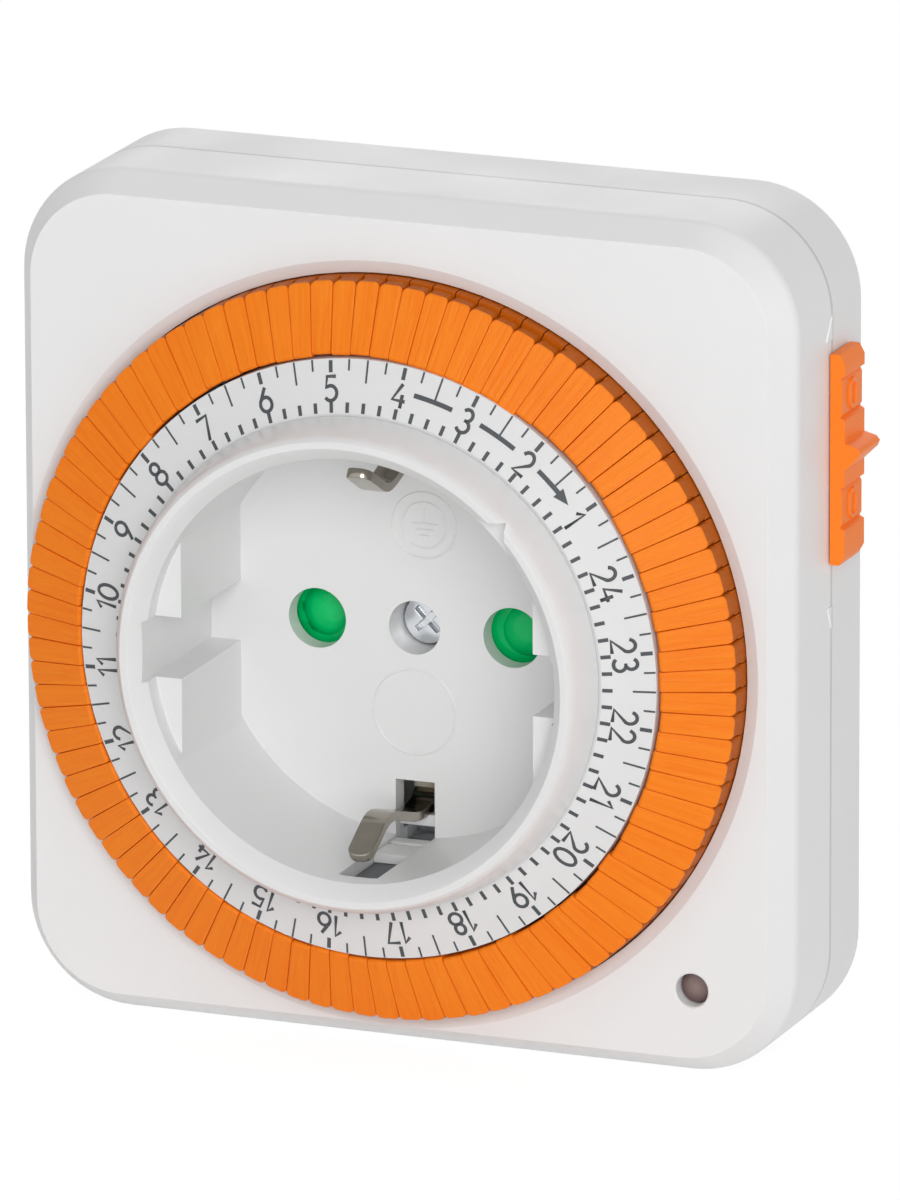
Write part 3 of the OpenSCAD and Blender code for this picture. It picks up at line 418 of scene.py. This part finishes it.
def segment_plastic():
    """Orange polypropylene: sink lines along each segment, and painted shade on the walls behind
    the fronts.
    """
    rim_mm = 31  # length of one radian of the rim
    line_pitch_mm, line_mm = 0.5, 7.0
    line_share = 0.65  # share of the lines in the colour, against the cloud
    cloud_mm, grain_mm = 9.0, 0.4
    wall_from, wall_full = 0.1, 0.16  # depth behind a head's outer front
    finish, tree, shader = blank("orange_polypropylene_moulded")
    place = add(tree, "ShaderNodeTexCoord").outputs["Object"]
    axes = add(tree, "ShaderNodeSeparateXYZ", links={"Vector": place})
    turn = add(tree, "ShaderNodeMath", links={0: axes.outputs["Z"], 1: axes.outputs["X"]},
               operation="ARCTAN2")
    flat = add(tree, "ShaderNodeVectorMath", {1: (1.0, 0.0, 1.0)}, {0: place},
               operation="MULTIPLY")
    reach = add(tree, "ShaderNodeVectorMath", links={0: flat.outputs["Vector"]},
                operation="LENGTH")
    across = add(tree, "ShaderNodeMath", {1: rim_mm / line_pitch_mm},
                 {0: turn.outputs["Value"]}, operation="MULTIPLY")
    along = add(tree, "ShaderNodeMath", {1: 1000 / line_mm},
                {0: reach.outputs["Value"]}, operation="MULTIPLY")
    polar = add(tree, "ShaderNodeCombineXYZ",
                links={"X": along.outputs["Value"], "Y": across.outputs["Value"]})
    lines = add(tree, "ShaderNodeTexNoise",
                {"Scale": 1.0, "Detail": 2.0, "Roughness": 0.55, "Distortion": 0.6},
                {"Vector": polar.outputs["Vector"]})
    cloud = add(tree, "ShaderNodeTexNoise", {"Scale": 1000 / cloud_mm, "Detail": 3.0},
                {"Vector": place})
    grain = add(tree, "ShaderNodeTexNoise", {"Scale": 1000 / grain_mm, "Detail": 2.0},
                {"Vector": place})
    blend = add(tree, "ShaderNodeMath", {1: line_share}, {0: lines.outputs["Fac"]},
                operation="MULTIPLY")
    shade = add(tree, "ShaderNodeMath", {1: 1 - line_share},
                {0: cloud.outputs["Fac"], 2: blend.outputs["Value"]}, operation="MULTIPLY_ADD")
    body = add(tree, "ShaderNodeMix", {6: linear("#F26C04"), 7: linear("#FF9526")},
               {0: shade.outputs["Value"]}, data_type="RGBA")
    # painted shade: behind the heads' outer fronts, the walls and feet turn dark brown-orange,
    # standing in for the shade they lie in
    wall = add(tree, "ShaderNodeMapRange",
               {"From Min": (wall_from - Z_HEAD) * MM, "From Max": (wall_full - Z_HEAD) * MM},
               {"Value": axes.outputs["Y"]})
    cut = add(tree, "ShaderNodeMix", {7: linear("#B85A02")},
              {0: wall.outputs["Result"], 6: body.outputs[2]}, data_type="RGBA")
    tree.links.new(cut.outputs[2], shader.inputs["Base Color"])
    gloss = add(tree, "ShaderNodeMapRange",
                {"From Min": NOISE_LOW, "From Max": NOISE_HIGH, "To Min": 0.4, "To Max": 0.54},
                {"Value": lines.outputs["Fac"]})
    tree.links.new(gloss.outputs["Result"], shader.inputs["Roughness"])
    fine = add(tree, "ShaderNodeBump", {"Strength": 0.4, "Distance": 0.008 * MM},
               {"Height": grain.outputs["Fac"]})
    ridges = add(tree, "ShaderNodeBump", {"Strength": 0.7, "Distance": 0.15 * MM},
                 {"Height": lines.outputs["Fac"], "Normal": fine.outputs["Normal"]})
    tree.links.new(ridges.outputs["Normal"], shader.inputs["Normal"])
    shader.inputs["IOR"].default_value = 1.49
    shader.inputs["Specular IOR Level"].default_value = 0.18
    return finish


orange = segment_plastic()
# The override slide comes from the same orange granulate, with a plain fine grain
slide_orange = moulded("orange_polypropylene_slide", "#FF7A14", "#FF8626", 0.42, 0.4, 0.01,
                       ior=1.49, shine=0.25)


def tinted_lens():
    """Smoky polycarbonate: reddish grey, darker towards its edge, with a clear gloss."""
    speck_mm = 0.6
    finish, tree, shader = blank("smoky_polycarbonate_lens")
    place = add(tree, "ShaderNodeTexCoord").outputs["Object"]
    centre = add(tree, "ShaderNodeMapping", {"Location": (-LENS[0] * MM, 0.0, -LENS[1] * MM)},
                 {"Vector": place})
    flat = add(tree, "ShaderNodeVectorMath", {1: (1.0, 0.0, 1.0)},
               {0: centre.outputs["Vector"]}, operation="MULTIPLY")
    reach = add(tree, "ShaderNodeVectorMath", links={0: flat.outputs["Vector"]},
                operation="LENGTH")
    ring = add(tree, "ShaderNodeMapRange", {"From Max": LENS_R * MM},
               {"Value": reach.outputs["Value"]})
    speck = add(tree, "ShaderNodeTexNoise", {"Scale": 1000 / speck_mm, "Detail": 2.0},
                {"Vector": place})
    tint = add(tree, "ShaderNodeMix", {6: linear("#8A726C"), 7: linear("#5E4A48")},
               {0: ring.outputs["Result"]}, data_type="RGBA")
    tree.links.new(tint.outputs[2], shader.inputs["Base Color"])
    gloss = add(tree, "ShaderNodeMapRange", {"To Min": 0.1, "To Max": 0.22},
                {"Value": speck.outputs["Fac"]})
    tree.links.new(gloss.outputs["Result"], shader.inputs["Roughness"])
    shader.inputs["IOR"].default_value = 1.585
    return finish


lens_smoke = tinted_lens()


def lamp_glass_finish():
    """Clear soda glass of the neon lamp: nearly colourless, with a little uneven draw."""
    wave_mm = 1.5
    finish, tree, shader = blank("clear_soda_glass_lamp")
    place = add(tree, "ShaderNodeTexCoord").outputs["Object"]
    wave = add(tree, "ShaderNodeTexNoise", {"Scale": 1000 / wave_mm, "Detail": 2.0},
               {"Vector": place})
    tint = add(tree, "ShaderNodeMix", {6: linear("#F6EAE4"), 7: linear("#FFF6F2")},
               {0: wave.outputs["Fac"]}, data_type="RGBA")
    tree.links.new(tint.outputs[2], shader.inputs["Base Color"])
    bump = add(tree, "ShaderNodeBump", {"Strength": 0.3, "Distance": 0.01 * MM},
               {"Height": wave.outputs["Fac"]})
    tree.links.new(bump.outputs["Normal"], shader.inputs["Normal"])
    shader.inputs["Roughness"].default_value = 0.05
    shader.inputs["IOR"].default_value = 1.52
    shader.inputs["Transmission Weight"].default_value = 0.85
    return finish


lamp_glass = lamp_glass_finish()

# ------------------------------------------------------- nodes that stay as they are

AS_BUILT = {
    "shutter_spring": spring_wire, "earth_bridge": nickel, "pin_bridge": grey_nylon,
    "contact_neutral": stamped_brass, "contact_load": stamped_brass,
    "busbar_line": stamped_brass, "dial_ring": dial_abs, "idler_gear": acetal,
    "idler_axle": zinc, "motor_can": motor_tin, "motor_pinion": stamped_brass,
    "chassis_plate": zinc, "switch_body": black_nylon, "switch_plunger": red_abs,
    "switch_lever": black_nylon, "lever_pin": zinc, "slide_spring": spring_wire,
    "neon_lamp": lamp_glass, "lamp_holder": socket_urea, "resistor": lacquer,
    "case_screws": zinc, "plug_pin_line": pin_nickel, "plug_pin_neutral": pin_nickel,
}
for node, finish in AS_BUILT.items():
    wear(nodes[node], finish)

# ------------------------------------------------------------------ case and socket


def soften_outline(case):
    """A moulding radius along both edges of the case's sloping front, all round the outline."""
    opening, lens_hole = 35.2, 3.5  # nothing inside these radii is part of the outline

    def outer(c):
        off_lens = math.hypot(c.x / MM - LENS[0], c.z / MM - LENS[1])
        return math.hypot(c.x, c.z) > opening * MM and off_lens > lens_hole

    for level in (Z_FACE * MM, (Z_FACE - SLOPE_H) * MM):
        def along(a, b):
            flat = max(abs(a.y + level), abs(b.y + level)) < ON_LEVEL * MM
            return flat and outer(a) and outer(b)
        pick(case, "EDGE", along)
        bevel_picked(CASE_ROUND, 4, clamp=True)


# the smallest detail on each of them holds these widths back, to between 0.01 and 0.1 mm
for node, slot, finish, width in (
        ("front_housing", "white_case", case_abs, 0.35),
        ("rear_housing", "rear_shell", shell_abs, 0.3),
        ("socket_insert", "socket_white", socket_urea, 0.4)):
    piece = copy_of(node, node + "_moulding")
    if node == "front_housing":
        soften_outline(piece)
    round_edges(piece, width, 3)
    smooth(piece)
    mount(piece, "timer", slot, finish, node)


def shutter():
    """The shutter with its wings let down around a glossy dome behind each pin hole."""
    wings = copy_of("shutter", "shutter_moulding")
    for v in wings.data.vertices:
        on_top = v.co.y < -(SHUTTER_TOP - 0.5) * MM  # within 0.5 mm of the front
        if on_top and math.hypot(v.co.x, v.co.z) > WING_R * MM:
            v.co.y += WING_DROP * MM
    round_edges(wings, 0.2)
    parts = [wings]
    for side in (-1, 1):
        nothing()
        bpy.ops.mesh.primitive_uv_sphere_add(
            segments=48, ring_count=24, radius=1.0, rotation=(math.radians(90), 0, 0),
            location=spot(side * PIN_PITCH / 2, 0, SHUTTER_TOP - DOME_H))
        dome = bpy.context.object
        dome.scale = (DOME_R * MM, DOME_R * MM, DOME_H * MM)
        done(dome, "dome")
        # the back half is pressed flat
        for v in dome.data.vertices:
            v.co.y = min(v.co.y, -(SHUTTER_TOP - DOME_H) * MM)
        parts.append(dome)
    whole = fused(parts, "shutter_moulding")
    smooth(whole)
    return whole


mount(shutter(), "shutter", "green", shutter_green, "shutter")

piece = copy_of("centre_screw", "centre_screw_pan_head")
round_edges(piece, 0.12)
smooth(piece)
mount(piece, "timer", "zinc_steel", zinc, "centre_screw")

for node in ("plug_earth_top", "plug_earth_bottom"):
    piece = copy_of(node, node + "_strip")
    round_edges(piece, 0.15)
    smooth(piece)
    mount(piece, "timer", "nickel", nickel, node)


def earth_clip(node):
    """A clip with its free end cut to a half round and its cut edges tumbled smooth."""
    end_deep, end_round = 0.9, 1.0
    shortest = 0.3  # edges across the strip's thickness are longer than this
    clip = copy_of(node, node + "_strip")
    front = min(v.co.y for v in clip.data.vertices)

    def corner(a, b):
        at_end = max(a.y, b.y) < front + end_deep * MM
        return at_end and (a - b).length > shortest * MM and abs(a.x - b.x) < 1e-6

    pick(clip, "EDGE", corner)
    bevel_picked(end_round, 6, clamp=True)
    round_edges(clip, 0.12, angle=40)
    smooth(clip, 40)
    return clip


for node in ("earth_clip_top", "earth_clip_bottom"):
    mount(earth_clip(node), "timer", "nickel", nickel, node)

# ------------------------------------------------------------- switching segments


def widen(piece, gap):
    """Spreads the sides of a block along +X with the radius, short of the neighbour by an angle."""
    half = math.radians(HALF_STEP - gap)
    for v in piece.data.vertices:
        v.co.z = math.copysign(v.co.x * math.tan(half), v.co.z)


def segment_blank():
    """One segment along +X: sloping top, soft outer corners, a chamfer at its inner end."""
    length = HEAD_R - SEG_R0
    corner, chamfer, edge = 0.5, 0.32, 0.12
    head = block(spot(SEG_R0 + length / 2, 0, (Z_SEG + Z_SEG_IN) / 2),
                 length, 1.0, Z_SEG_IN - Z_SEG, "segment")
    widen(head, gap=0.03)
    # the front falls away towards the outer end
    for v in head.data.vertices:
        if v.co.y < -(Z_SEG + 0.5) * MM:
            v.co.y = -(Z_SEG_IN if v.co.x < (SEG_R0 + 1) * MM else Z_HEAD) * MM
    pick(head, "EDGE", lambda a, b: min(a.x, b.x) > (HEAD_R - ON_LEVEL) * MM
         and abs(a.z - b.z) < 1e-7)
    bevel_picked(corner, 4)
    pick(head, "EDGE", lambda a, b: max(a.x, b.x) < (SEG_R0 + ON_LEVEL) * MM
         and max(a.y, b.y) < -(Z_SEG + 1.0) * MM)
    bevel_picked(chamfer, 1)
    round_edges(head, edge, angle=25)
    return head


def foot_blank():
    """The foot of a segment, which stays at the edge of the opening when the segment leans in."""
    reach = FOOT_R - FOOT_BACK
    foot = block(spot(FOOT_BACK + reach / 2, 0, (Z_SEG + Z_FOOT) / 2),
                 reach, 1.0, Z_FOOT - Z_SEG, "segment_foot")
    widen(foot, gap=0.1)
    pick(foot, "EDGE", lambda a, b: min(a.x, b.x) > (FOOT_R - ON_LEVEL) * MM
         and max(a.y, b.y) < -(Z_FOOT - ON_LEVEL) * MM)
    bevel_picked(0.15, 2)
    return foot


def leg_blank():
    """The leg that passes through the dial's flange, with a lead-in at its back end."""
    middle_r, wide, high = 30.6, 1.6, 1.1
    front = Z_SEG + 0.4  # a little way into the head
    leg = block(spot(middle_r, 0, (Z_FLANGE + front) / 2), wide, high, front - Z_FLANGE,
                "segment_leg")
    pick(leg, "EDGE", lambda a, b: min(a.y, b.y) > -(Z_FLANGE + ON_LEVEL) * MM)
    bevel_picked(0.2, 1)
    return leg


# unevenness from segment to segment: length, place and tilt
END_SHORT, END_LONG = -0.08, 0.2
END_ZONE = 0.7  # what lies this near to the inner end moves when the length changes
PLAY = 0.05
TILT = 0.2
# the ring was last set by hand: the last segments stand inward, over the dial's edge, the
# first of them by the full amount
FIRST_LEANING = 86
LEAN = 0.5
TILT_POINT = Matrix.Translation((31 * MM, 0, 0))

master = fused([segment_blank(), leg_blank()], "segment_master")
smooth(master, 40)
foot_master = foot_blank()
smooth(foot_master, 40)
ring, quarters = [], []
for k in range(SEGMENTS):
    one = twin(master)
    end = dice.uniform(END_SHORT, END_LONG) * MM
    for v in one.data.vertices:
        if v.co.x < (SEG_R0 + END_ZONE) * MM:
            v.co.x += end
    lean = LEAN if k >= FIRST_LEANING else 0.0
    lean *= (SEGMENTS - k) / (SEGMENTS - FIRST_LEANING)
    outward = dice.uniform(-PLAY, PLAY) - lean
    back = dice.uniform(-PLAY, PLAY)
    shift = Matrix.Translation((outward * MM, back * MM, 0))
    tilt = Matrix.Rotation(math.radians(dice.uniform(-TILT, TILT)), 4, "Y")
    one.data.transform(shift @ TILT_POINT @ tilt @ TILT_POINT.inverted())
    segment = fused([one, twin(foot_master)], "segment")
    turn_on_dial(segment, DIAL_TURN + (2 * k + 1) * HALF_STEP)
    (quarters if FIRST_QUARTER <= k < FIRST_QUARTER + 4 else ring).append(segment)
bpy.data.objects.remove(master)
bpy.data.objects.remove(foot_master)
mount(fused(ring, "segment_ring"), "dial", "orange", orange, "switching_segments")
for i, segment in enumerate(quarters, 1):
    name = "segment_q%d" % i
    mount(named(segment, name + "_moulding"), name, "orange", orange, name)

# --------------------------------------------------------------------- dial print


def bar(r0, r1, wide, angle):
    """A printed stroke along the radius at an angle."""
    stroke = block(spot((r0 + r1) / 2, 0, 0), r1 - r0, wide, INK, "stroke")
    turn_on_dial(stroke, angle)
    return stroke


def arc(start, stop, steps):
    """A printed stroke along the dial, cut into cells and bent from a block one metre long."""
    stroke = block(spot(0, 0, 0), SHAFT_W, 1 / MM, INK, "stroke")
    for i in range(1, steps):
        pick_all(stroke)
        bpy.ops.mesh.bisect(plane_co=(0, 0, -0.5 + i / steps), plane_no=(0, 0, 1))
        leave_edit()
    for v in stroke.data.vertices:
        a = math.radians(start + (stop - start) * (v.co.z + 0.5))
        reach = ARROW_R * MM + v.co.x
        v.co.x, v.co.z = reach * math.cos(a), reach * math.sin(a)
    return stroke


# lines of the scale: from radius, to radius and width
INNER_LINE = (23.15, 24.05, 0.34)
HOUR_LINE = (26.65, 27.7, 0.36)
HALF_LINE = (25.8, 27.8, 0.18)
QUARTER_LINE = (26.8, 27.8, 0.18)

print_parts = []
for i in range(SEGMENTS):
    angle = DIAL_TURN + i * 360 / SEGMENTS
    print_parts.append(bar(*INNER_LINE, angle))
    outer_line = {0: HOUR_LINE, 2: HALF_LINE}.get(i % 4, QUARTER_LINE)
    print_parts.append(bar(*outer_line, angle))


def bow(x, y, wide, high, start, stop, steps=12):
    """Points along part of an oval, in parts of a digit's width and height."""
    turns = [math.radians(start + (stop - start) * i / steps) for i in range(steps + 1)]
    return [(x + wide * math.cos(t), y + high * math.sin(t)) for t in turns]


# the strokes of each digit: a plain technical lettering, one unit wide and one unit high
DIGITS = {
    "0": [bow(0.5, 0.5, 0.5, 0.5, 90, 450, 24)],
    "1": [[(0.0, 0.74), (0.42, 1.0), (0.42, 0.0)]],
    "2": [bow(0.48, 0.7, 0.46, 0.3, 165, -30) + [(0.02, 0.0), (1.0, 0.0)]],
    "3": [bow(0.46, 0.75, 0.4, 0.25, 150, -90) + bow(0.46, 0.26, 0.48, 0.26, 90, -150)],
    "4": [[(0.6, 1.0), (0.0, 0.3), (1.0, 0.3)], [(0.72, 0.56), (0.72, 0.0)]],
    "5": [[(0.9, 1.0), (0.2, 1.0), (0.1, 0.54)] + bow(0.46, 0.31, 0.5, 0.31, 118, -145)],
    "6": [[(0.68, 1.0), (0.1, 0.46)], bow(0.5, 0.3, 0.47, 0.3, 0, 360, 20)],
    "7": [[(0.0, 1.0), (0.96, 1.0), (0.36, 0.0)]],
    "8": [bow(0.5, 0.76, 0.38, 0.24, 0, 360, 18), bow(0.5, 0.27, 0.48, 0.27, 0, 360, 20)],
    "9": [[(0.32, 0.0), (0.9, 0.54)], bow(0.5, 0.7, 0.47, 0.3, 0, 360, 20)],
}
ONE_W = 0.42  # width of the digit 1, against the others


def numeral(hour):
    """An hour number drawn in even strokes, its top outwards, centred on the scale."""
    lettering = bpy.data.curves.new("numeral", "CURVE")
    lettering.dimensions = "3D"
    lettering.bevel_depth = STROKE / 2 * MM
    lettering.bevel_resolution = 1
    lettering.use_fill_caps = True
    reach = 0.0
    for digit in str(hour):
        for stroke in DIGITS[digit]:
            spline = lettering.splines.new("POLY")
            spline.points.add(len(stroke) - 1)
            for point, (x, y) in zip(spline.points, stroke):
                point.co = ((reach + x * DIGIT_W) * MM, (y - 0.5) * DIGIT_H * MM, 0, 1)
        reach += DIGIT_W * (ONE_W if digit == "1" else 1.0) + DIGIT_GAP
    word = bpy.data.objects.new("numeral", lettering)
    bpy.context.scene.collection.objects.link(word)
    only(word)
    bpy.ops.object.convert(target="MESH")
    word = bpy.context.object
    # lifted by 0.1 mm, which the flattening shrinks to a hundredth
    centred = Matrix.Translation((-(reach - DIGIT_GAP) / 2 * MM, 0, 0.1 * MM))
    flat = Matrix.Diagonal((1, 1, INK / STROKE, 1))
    upright = Matrix.Rotation(math.radians(90), 4, "X")
    outward = Matrix.Translation((0, 0, NUMERAL_R * MM))
    word.data.transform(outward @ upright @ flat @ centred)
    turn_on_dial(word, DIAL_TURN + 15 * (hour - 5) - 90)
    return word


def arrow_head(angle):
    """The point of the direction arrow."""
    head = disc(spot(0, 0, 0), POINT_R, INK, 3, "arrow_head")
    longer = Matrix.Diagonal((1, 1, POINT_STRETCH, 1))
    backwards = Matrix.Rotation(math.radians(180), 4, "Y")
    head.data.transform(Matrix.Translation((ARROW_R * MM, 0, 0)) @ backwards @ longer)
    turn_on_dial(head, angle)
    return head


def lay_on_dial(piece):
    """Presses a flat print, built at zero height, onto the cone of the dial."""
    fall = (Z_DIAL - Z_SEG_IN) / (SKIRT_R - HUB_R)
    for v in piece.data.vertices:
        level = Z_DIAL - fall * (math.hypot(v.co.x, v.co.z) / MM - HUB_R)
        v.co.y -= (level + PRINT_PROUD) * MM


print_parts += [numeral(hour) for hour in range(1, 25)]
# the arrow's shaft runs between the numerals in three strokes
for start, stop, steps in ((79.0, 70.5, 6), (64.0, 55.5, 6), (49.0, 42.6, 5)):
    print_parts.append(arc(start, stop, steps))
print_parts.append(arrow_head(42.0))
dial_print = fused(print_parts, "dial_scale_print")
lay_on_dial(dial_print)
pick_all(dial_print)
bpy.ops.mesh.remove_doubles(threshold=0.001 * MM)
bpy.ops.mesh.normals_make_consistent(inside=False)
leave_edit()
mount(dial_print, "dial", "dial_white", scale_ink)

# ----------------------------------------------------------------- socket details


def raised_ring(x, y, radius):
    """A thin moulded circle standing on the socket floor."""
    nothing()
    bpy.ops.mesh.primitive_torus_add(
        major_segments=64, minor_segments=8, major_radius=radius * MM, minor_radius=0.11 * MM,
        location=spot(x, y, Z_FLOOR), rotation=(math.radians(90), 0, 0))
    hoop = done(bpy.context.object, "mark")
    smooth(hoop, 60)
    return hoop


MARK = 0.16  # width and thickness of a raised line


def raised_line(x, y, wide, high):
    """A thin moulded line standing on the socket floor, sunk a little less than half."""
    line = block(spot(x, y, Z_FLOOR + 0.02), wide, high, MARK, "mark")
    round_edges(line, 0.04)
    return line


def slab(x, y, z0, z1, wide, high):
    """A flat bar across the earth slot, from one level to another."""
    plate = block(spot(x, y, (z0 + z1) / 2), wide, high, z1 - z0, "slab")
    round_edges(plate, 0.08)
    return plate


def detail(parts, name, slot, finish):
    """Joins small parts of the socket into one piece and mounts it."""
    whole = fused(parts, name)
    smooth(whole, 40)
    mount(whole, "timer", slot, finish)


# an earth symbol in two circles above the screw, and a bare circle below it
detail([raised_ring(1.0, 9.7, 3.1), raised_ring(1.0, 9.7, 2.15), raised_ring(0, -7.9, 4.0),
        raised_line(1.0, 10.6, MARK, 1.5), raised_line(1.0, 9.85, 2.4, MARK),
        raised_line(1.0, 9.3, 1.6, MARK), raised_line(1.0, 8.75, 0.8, MARK)],
       "socket_floor_marks", "socket_white", socket_urea)

# behind each earth clip the slot is bridged by three ribs and a ledge of the insert, with a dark
# grey sheet between them as painted shadow in the slot, and the clip's heel lies at its foot;
# each slab is given by its place right and up, the levels of its back and front, its width and
# its height
RIB_LEVELS = ((Z_FLOOR + 0.1, 31.2), (32.0, 35.2), (42.8, 44.2))
RIB_WIDE = 3.7
ribs, shade_sheets, heels = [], [], []
for side in (-1, 1):
    ribs.append(slab(0, side * (CUP_R - 1.45), 28.0, 28.9, RIB_WIDE, 1.1))
    heels.append(slab(0.35, side * 14.9, 26.5, 27.1, 3.0, 1.6))
    for z0, z1 in RIB_LEVELS:
        ribs.append(slab(0, side * (CUP_R + 0.62), z0, z1, RIB_WIDE, 0.9))
    # painted shadow: a thin dark grey sheet across each slot stands in for the shade inside it
    shade_sheets.append(slab(0, side * (CUP_R + 1.18), 30.5, 43.5, 3.6, 0.14))
detail(ribs, "earth_slot_ribs", "socket_white", socket_urea)
detail(heels, "earth_clip_heels", "nickel", nickel)
detail(shade_sheets, "earth_slot_shade_sheets", "grey_plastic", grey_nylon)

# -------------------------------------------------- slide, lever spring and lens

piece = copy_of("override_slide", "override_slide_moulding")
round_edges(piece, 0.12)
smooth(piece, 40)
mount(piece, "override_slide", "orange", slide_orange, "override_slide")

# the lever's spring stands on the switch and is pressed down by the lever above it
spring = copy_of("lever_spring", "lever_spring_coil")
smooth(spring, 40)
mount(spring, "timer", "spring_steel", spring_wire, "lever_spring")
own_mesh(spring)


def lens():
    """A shallow dome deep in its hole in the corner of the front, on its collar."""
    body_middle, body_deep = Z_FACE - LENS_SINK - 0.8, 1.2
    collar_middle, collar_deep = Z_FACE - 2.85, 0.9
    body = disc(spot(*LENS, body_middle), LENS_R, body_deep, 48, "lens_body")
    pick(body, "FACE", lambda c, n: n.y < -0.9)
    for inset, rise in ((0.25, 0.09), (0.35, 0.07), (0.4, 0.03)):
        bpy.ops.mesh.inset(thickness=inset * MM, depth=rise * MM)
    leave_edit()
    collar = disc(spot(*LENS, collar_middle), LENS_R + 0.7, collar_deep, 48, "lens_collar")
    round_edges(collar, 0.15)
    whole = fused([body, collar], "indicator_lens_dome")
    smooth(whole, 40)
    return whole


mount(lens(), "timer", "lens_tint", lens_smoke, "indicator_lens")

# ------------------------------------------------------------------ stage and camera


def direct_view(tree):
    """One for rays that come from the camera, a mirroring surface or clear glass, else zero."""
    seen = add(tree, "ShaderNodeLightPath")
    direct = add(tree, "ShaderNodeMath",
                 links={0: seen.outputs["Is Camera Ray"], 1: seen.outputs["Is Glossy Ray"]},
                 operation="MAXIMUM")
    either = add(tree, "ShaderNodeMath",
                 links={0: direct.outputs["Value"], 1: seen.outputs["Is Transmission Ray"]},
                 operation="MAXIMUM")
    return either.outputs["Value"]


def paper_floor():
    """White paper, blown out to white by the light where it is seen directly."""
    cloud_mm = 25.0
    finish, tree, shader = blank("white_paper_floor")
    place = add(tree, "ShaderNodeTexCoord").outputs["Object"]
    paper = add(tree, "ShaderNodeTexNoise", {"Scale": 1000 / cloud_mm, "Detail": 3.0},
                {"Vector": place})
    tint = add(tree, "ShaderNodeMix", {6: linear("#FAFAFA"), 7: linear("#FFFFFF")},
               {0: paper.outputs["Fac"]}, data_type="RGBA")
    tree.links.new(tint.outputs[2], shader.inputs["Base Color"])
    shader.inputs["Roughness"].default_value = 0.9
    shader.inputs["Specular IOR Level"].default_value = 0.1
    share = add(tree, "ShaderNodeMath", {1: 0.9}, {0: direct_view(tree)}, operation="MULTIPLY")
    glow = add(tree, "ShaderNodeEmission", {"Color": (1, 1, 1, 1), "Strength": 1.05})
    both = add(tree, "ShaderNodeMixShader",
               links={0: share.outputs["Value"], 1: shader.outputs["BSDF"],
                      2: glow.outputs["Emission"]})
    output = [n for n in tree.nodes if n.type == "OUTPUT_MATERIAL"][0]
    tree.links.new(both.outputs["Shader"], output.inputs["Surface"])
    return finish


nothing()
bpy.ops.mesh.primitive_plane_add(size=6.0, location=(0, 0, CASE_BOTTOM * MM))
floor = bpy.context.object
floor.name = "floor"
floor.data.materials.append(paper_floor())

# a white studio that lights the object only softly
world = bpy.data.worlds.new("studio")
bpy.context.scene.world = world
world.use_nodes = True
tree = world.node_tree
tree.nodes.clear()
soft = add(tree, "ShaderNodeBackground", {"Color": (1, 1, 1, 1), "Strength": 0.34})
white = add(tree, "ShaderNodeBackground", {"Color": (1, 1, 1, 1), "Strength": 1.0})
both = add(tree, "ShaderNodeMixShader",
           links={0: direct_view(tree), 1: soft.outputs["Background"],
                  2: white.outputs["Background"]})
add(tree, "ShaderNodeOutputWorld", links={"Surface": both.outputs["Shader"]})

# lamps: name, place in metres, size in metres and power in watts
LAMPS = (
    ("key_front", (0.6, -1.3, 0.42), 1.0, 11.7),
    ("side_right", (1.3, 0.25, 0.25), 1.0, 1.1),
    ("top", (-0.1, -0.4, 1.2), 1.0, 1.1),
    ("back_fill", (-0.3, 0.9, 0.6), 0.8, 2.0),
)
LIT_POINT = Vector((0, -0.03, 0))
for name, place, size, power in LAMPS:
    nothing()
    bpy.ops.object.light_add(type="AREA", location=place)
    lamp = bpy.context.object
    lamp.name = name
    lamp.data.shape = "DISK"
    lamp.data.size = size
    lamp.data.energy = power
    lamp.rotation_euler = (LIT_POINT - Vector(place)).to_track_quat("-Z", "Y").to_euler()

# camera: a long lens 1.4 m away, turned to the right and up
azimuth, elevation, roll = math.radians(21.808), math.radians(15.427), math.radians(-0.196)
distance = 1.4
aim = Vector((0.00415, -0.0313, 0.00347))
away = Vector((math.sin(azimuth) * math.cos(elevation),
               -math.cos(azimuth) * math.cos(elevation), math.sin(elevation)))
level_right = Vector((math.cos(azimuth), math.sin(azimuth), 0))
right = math.cos(roll) * level_right + math.sin(roll) * away.cross(level_right)
turned = Matrix((right, away.cross(right), away)).transposed().to_4x4()
camera_data = bpy.data.cameras.new("camera")
camera_data.sensor_fit = "HORIZONTAL"
camera_data.sensor_width = 36.0
camera_data.lens = 620.5
camera_data.clip_start = 0.05
camera_data.clip_end = 20.0
camera = bpy.data.objects.new("camera", camera_data)
bpy.context.scene.collection.objects.link(camera)
camera.matrix_world = Matrix.Translation(aim + distance * away) @ turned
bpy.context.scene.camera = camera
bpy.context.scene.view_settings.view_transform = "Standard"

bpy.context.view_layer.update()
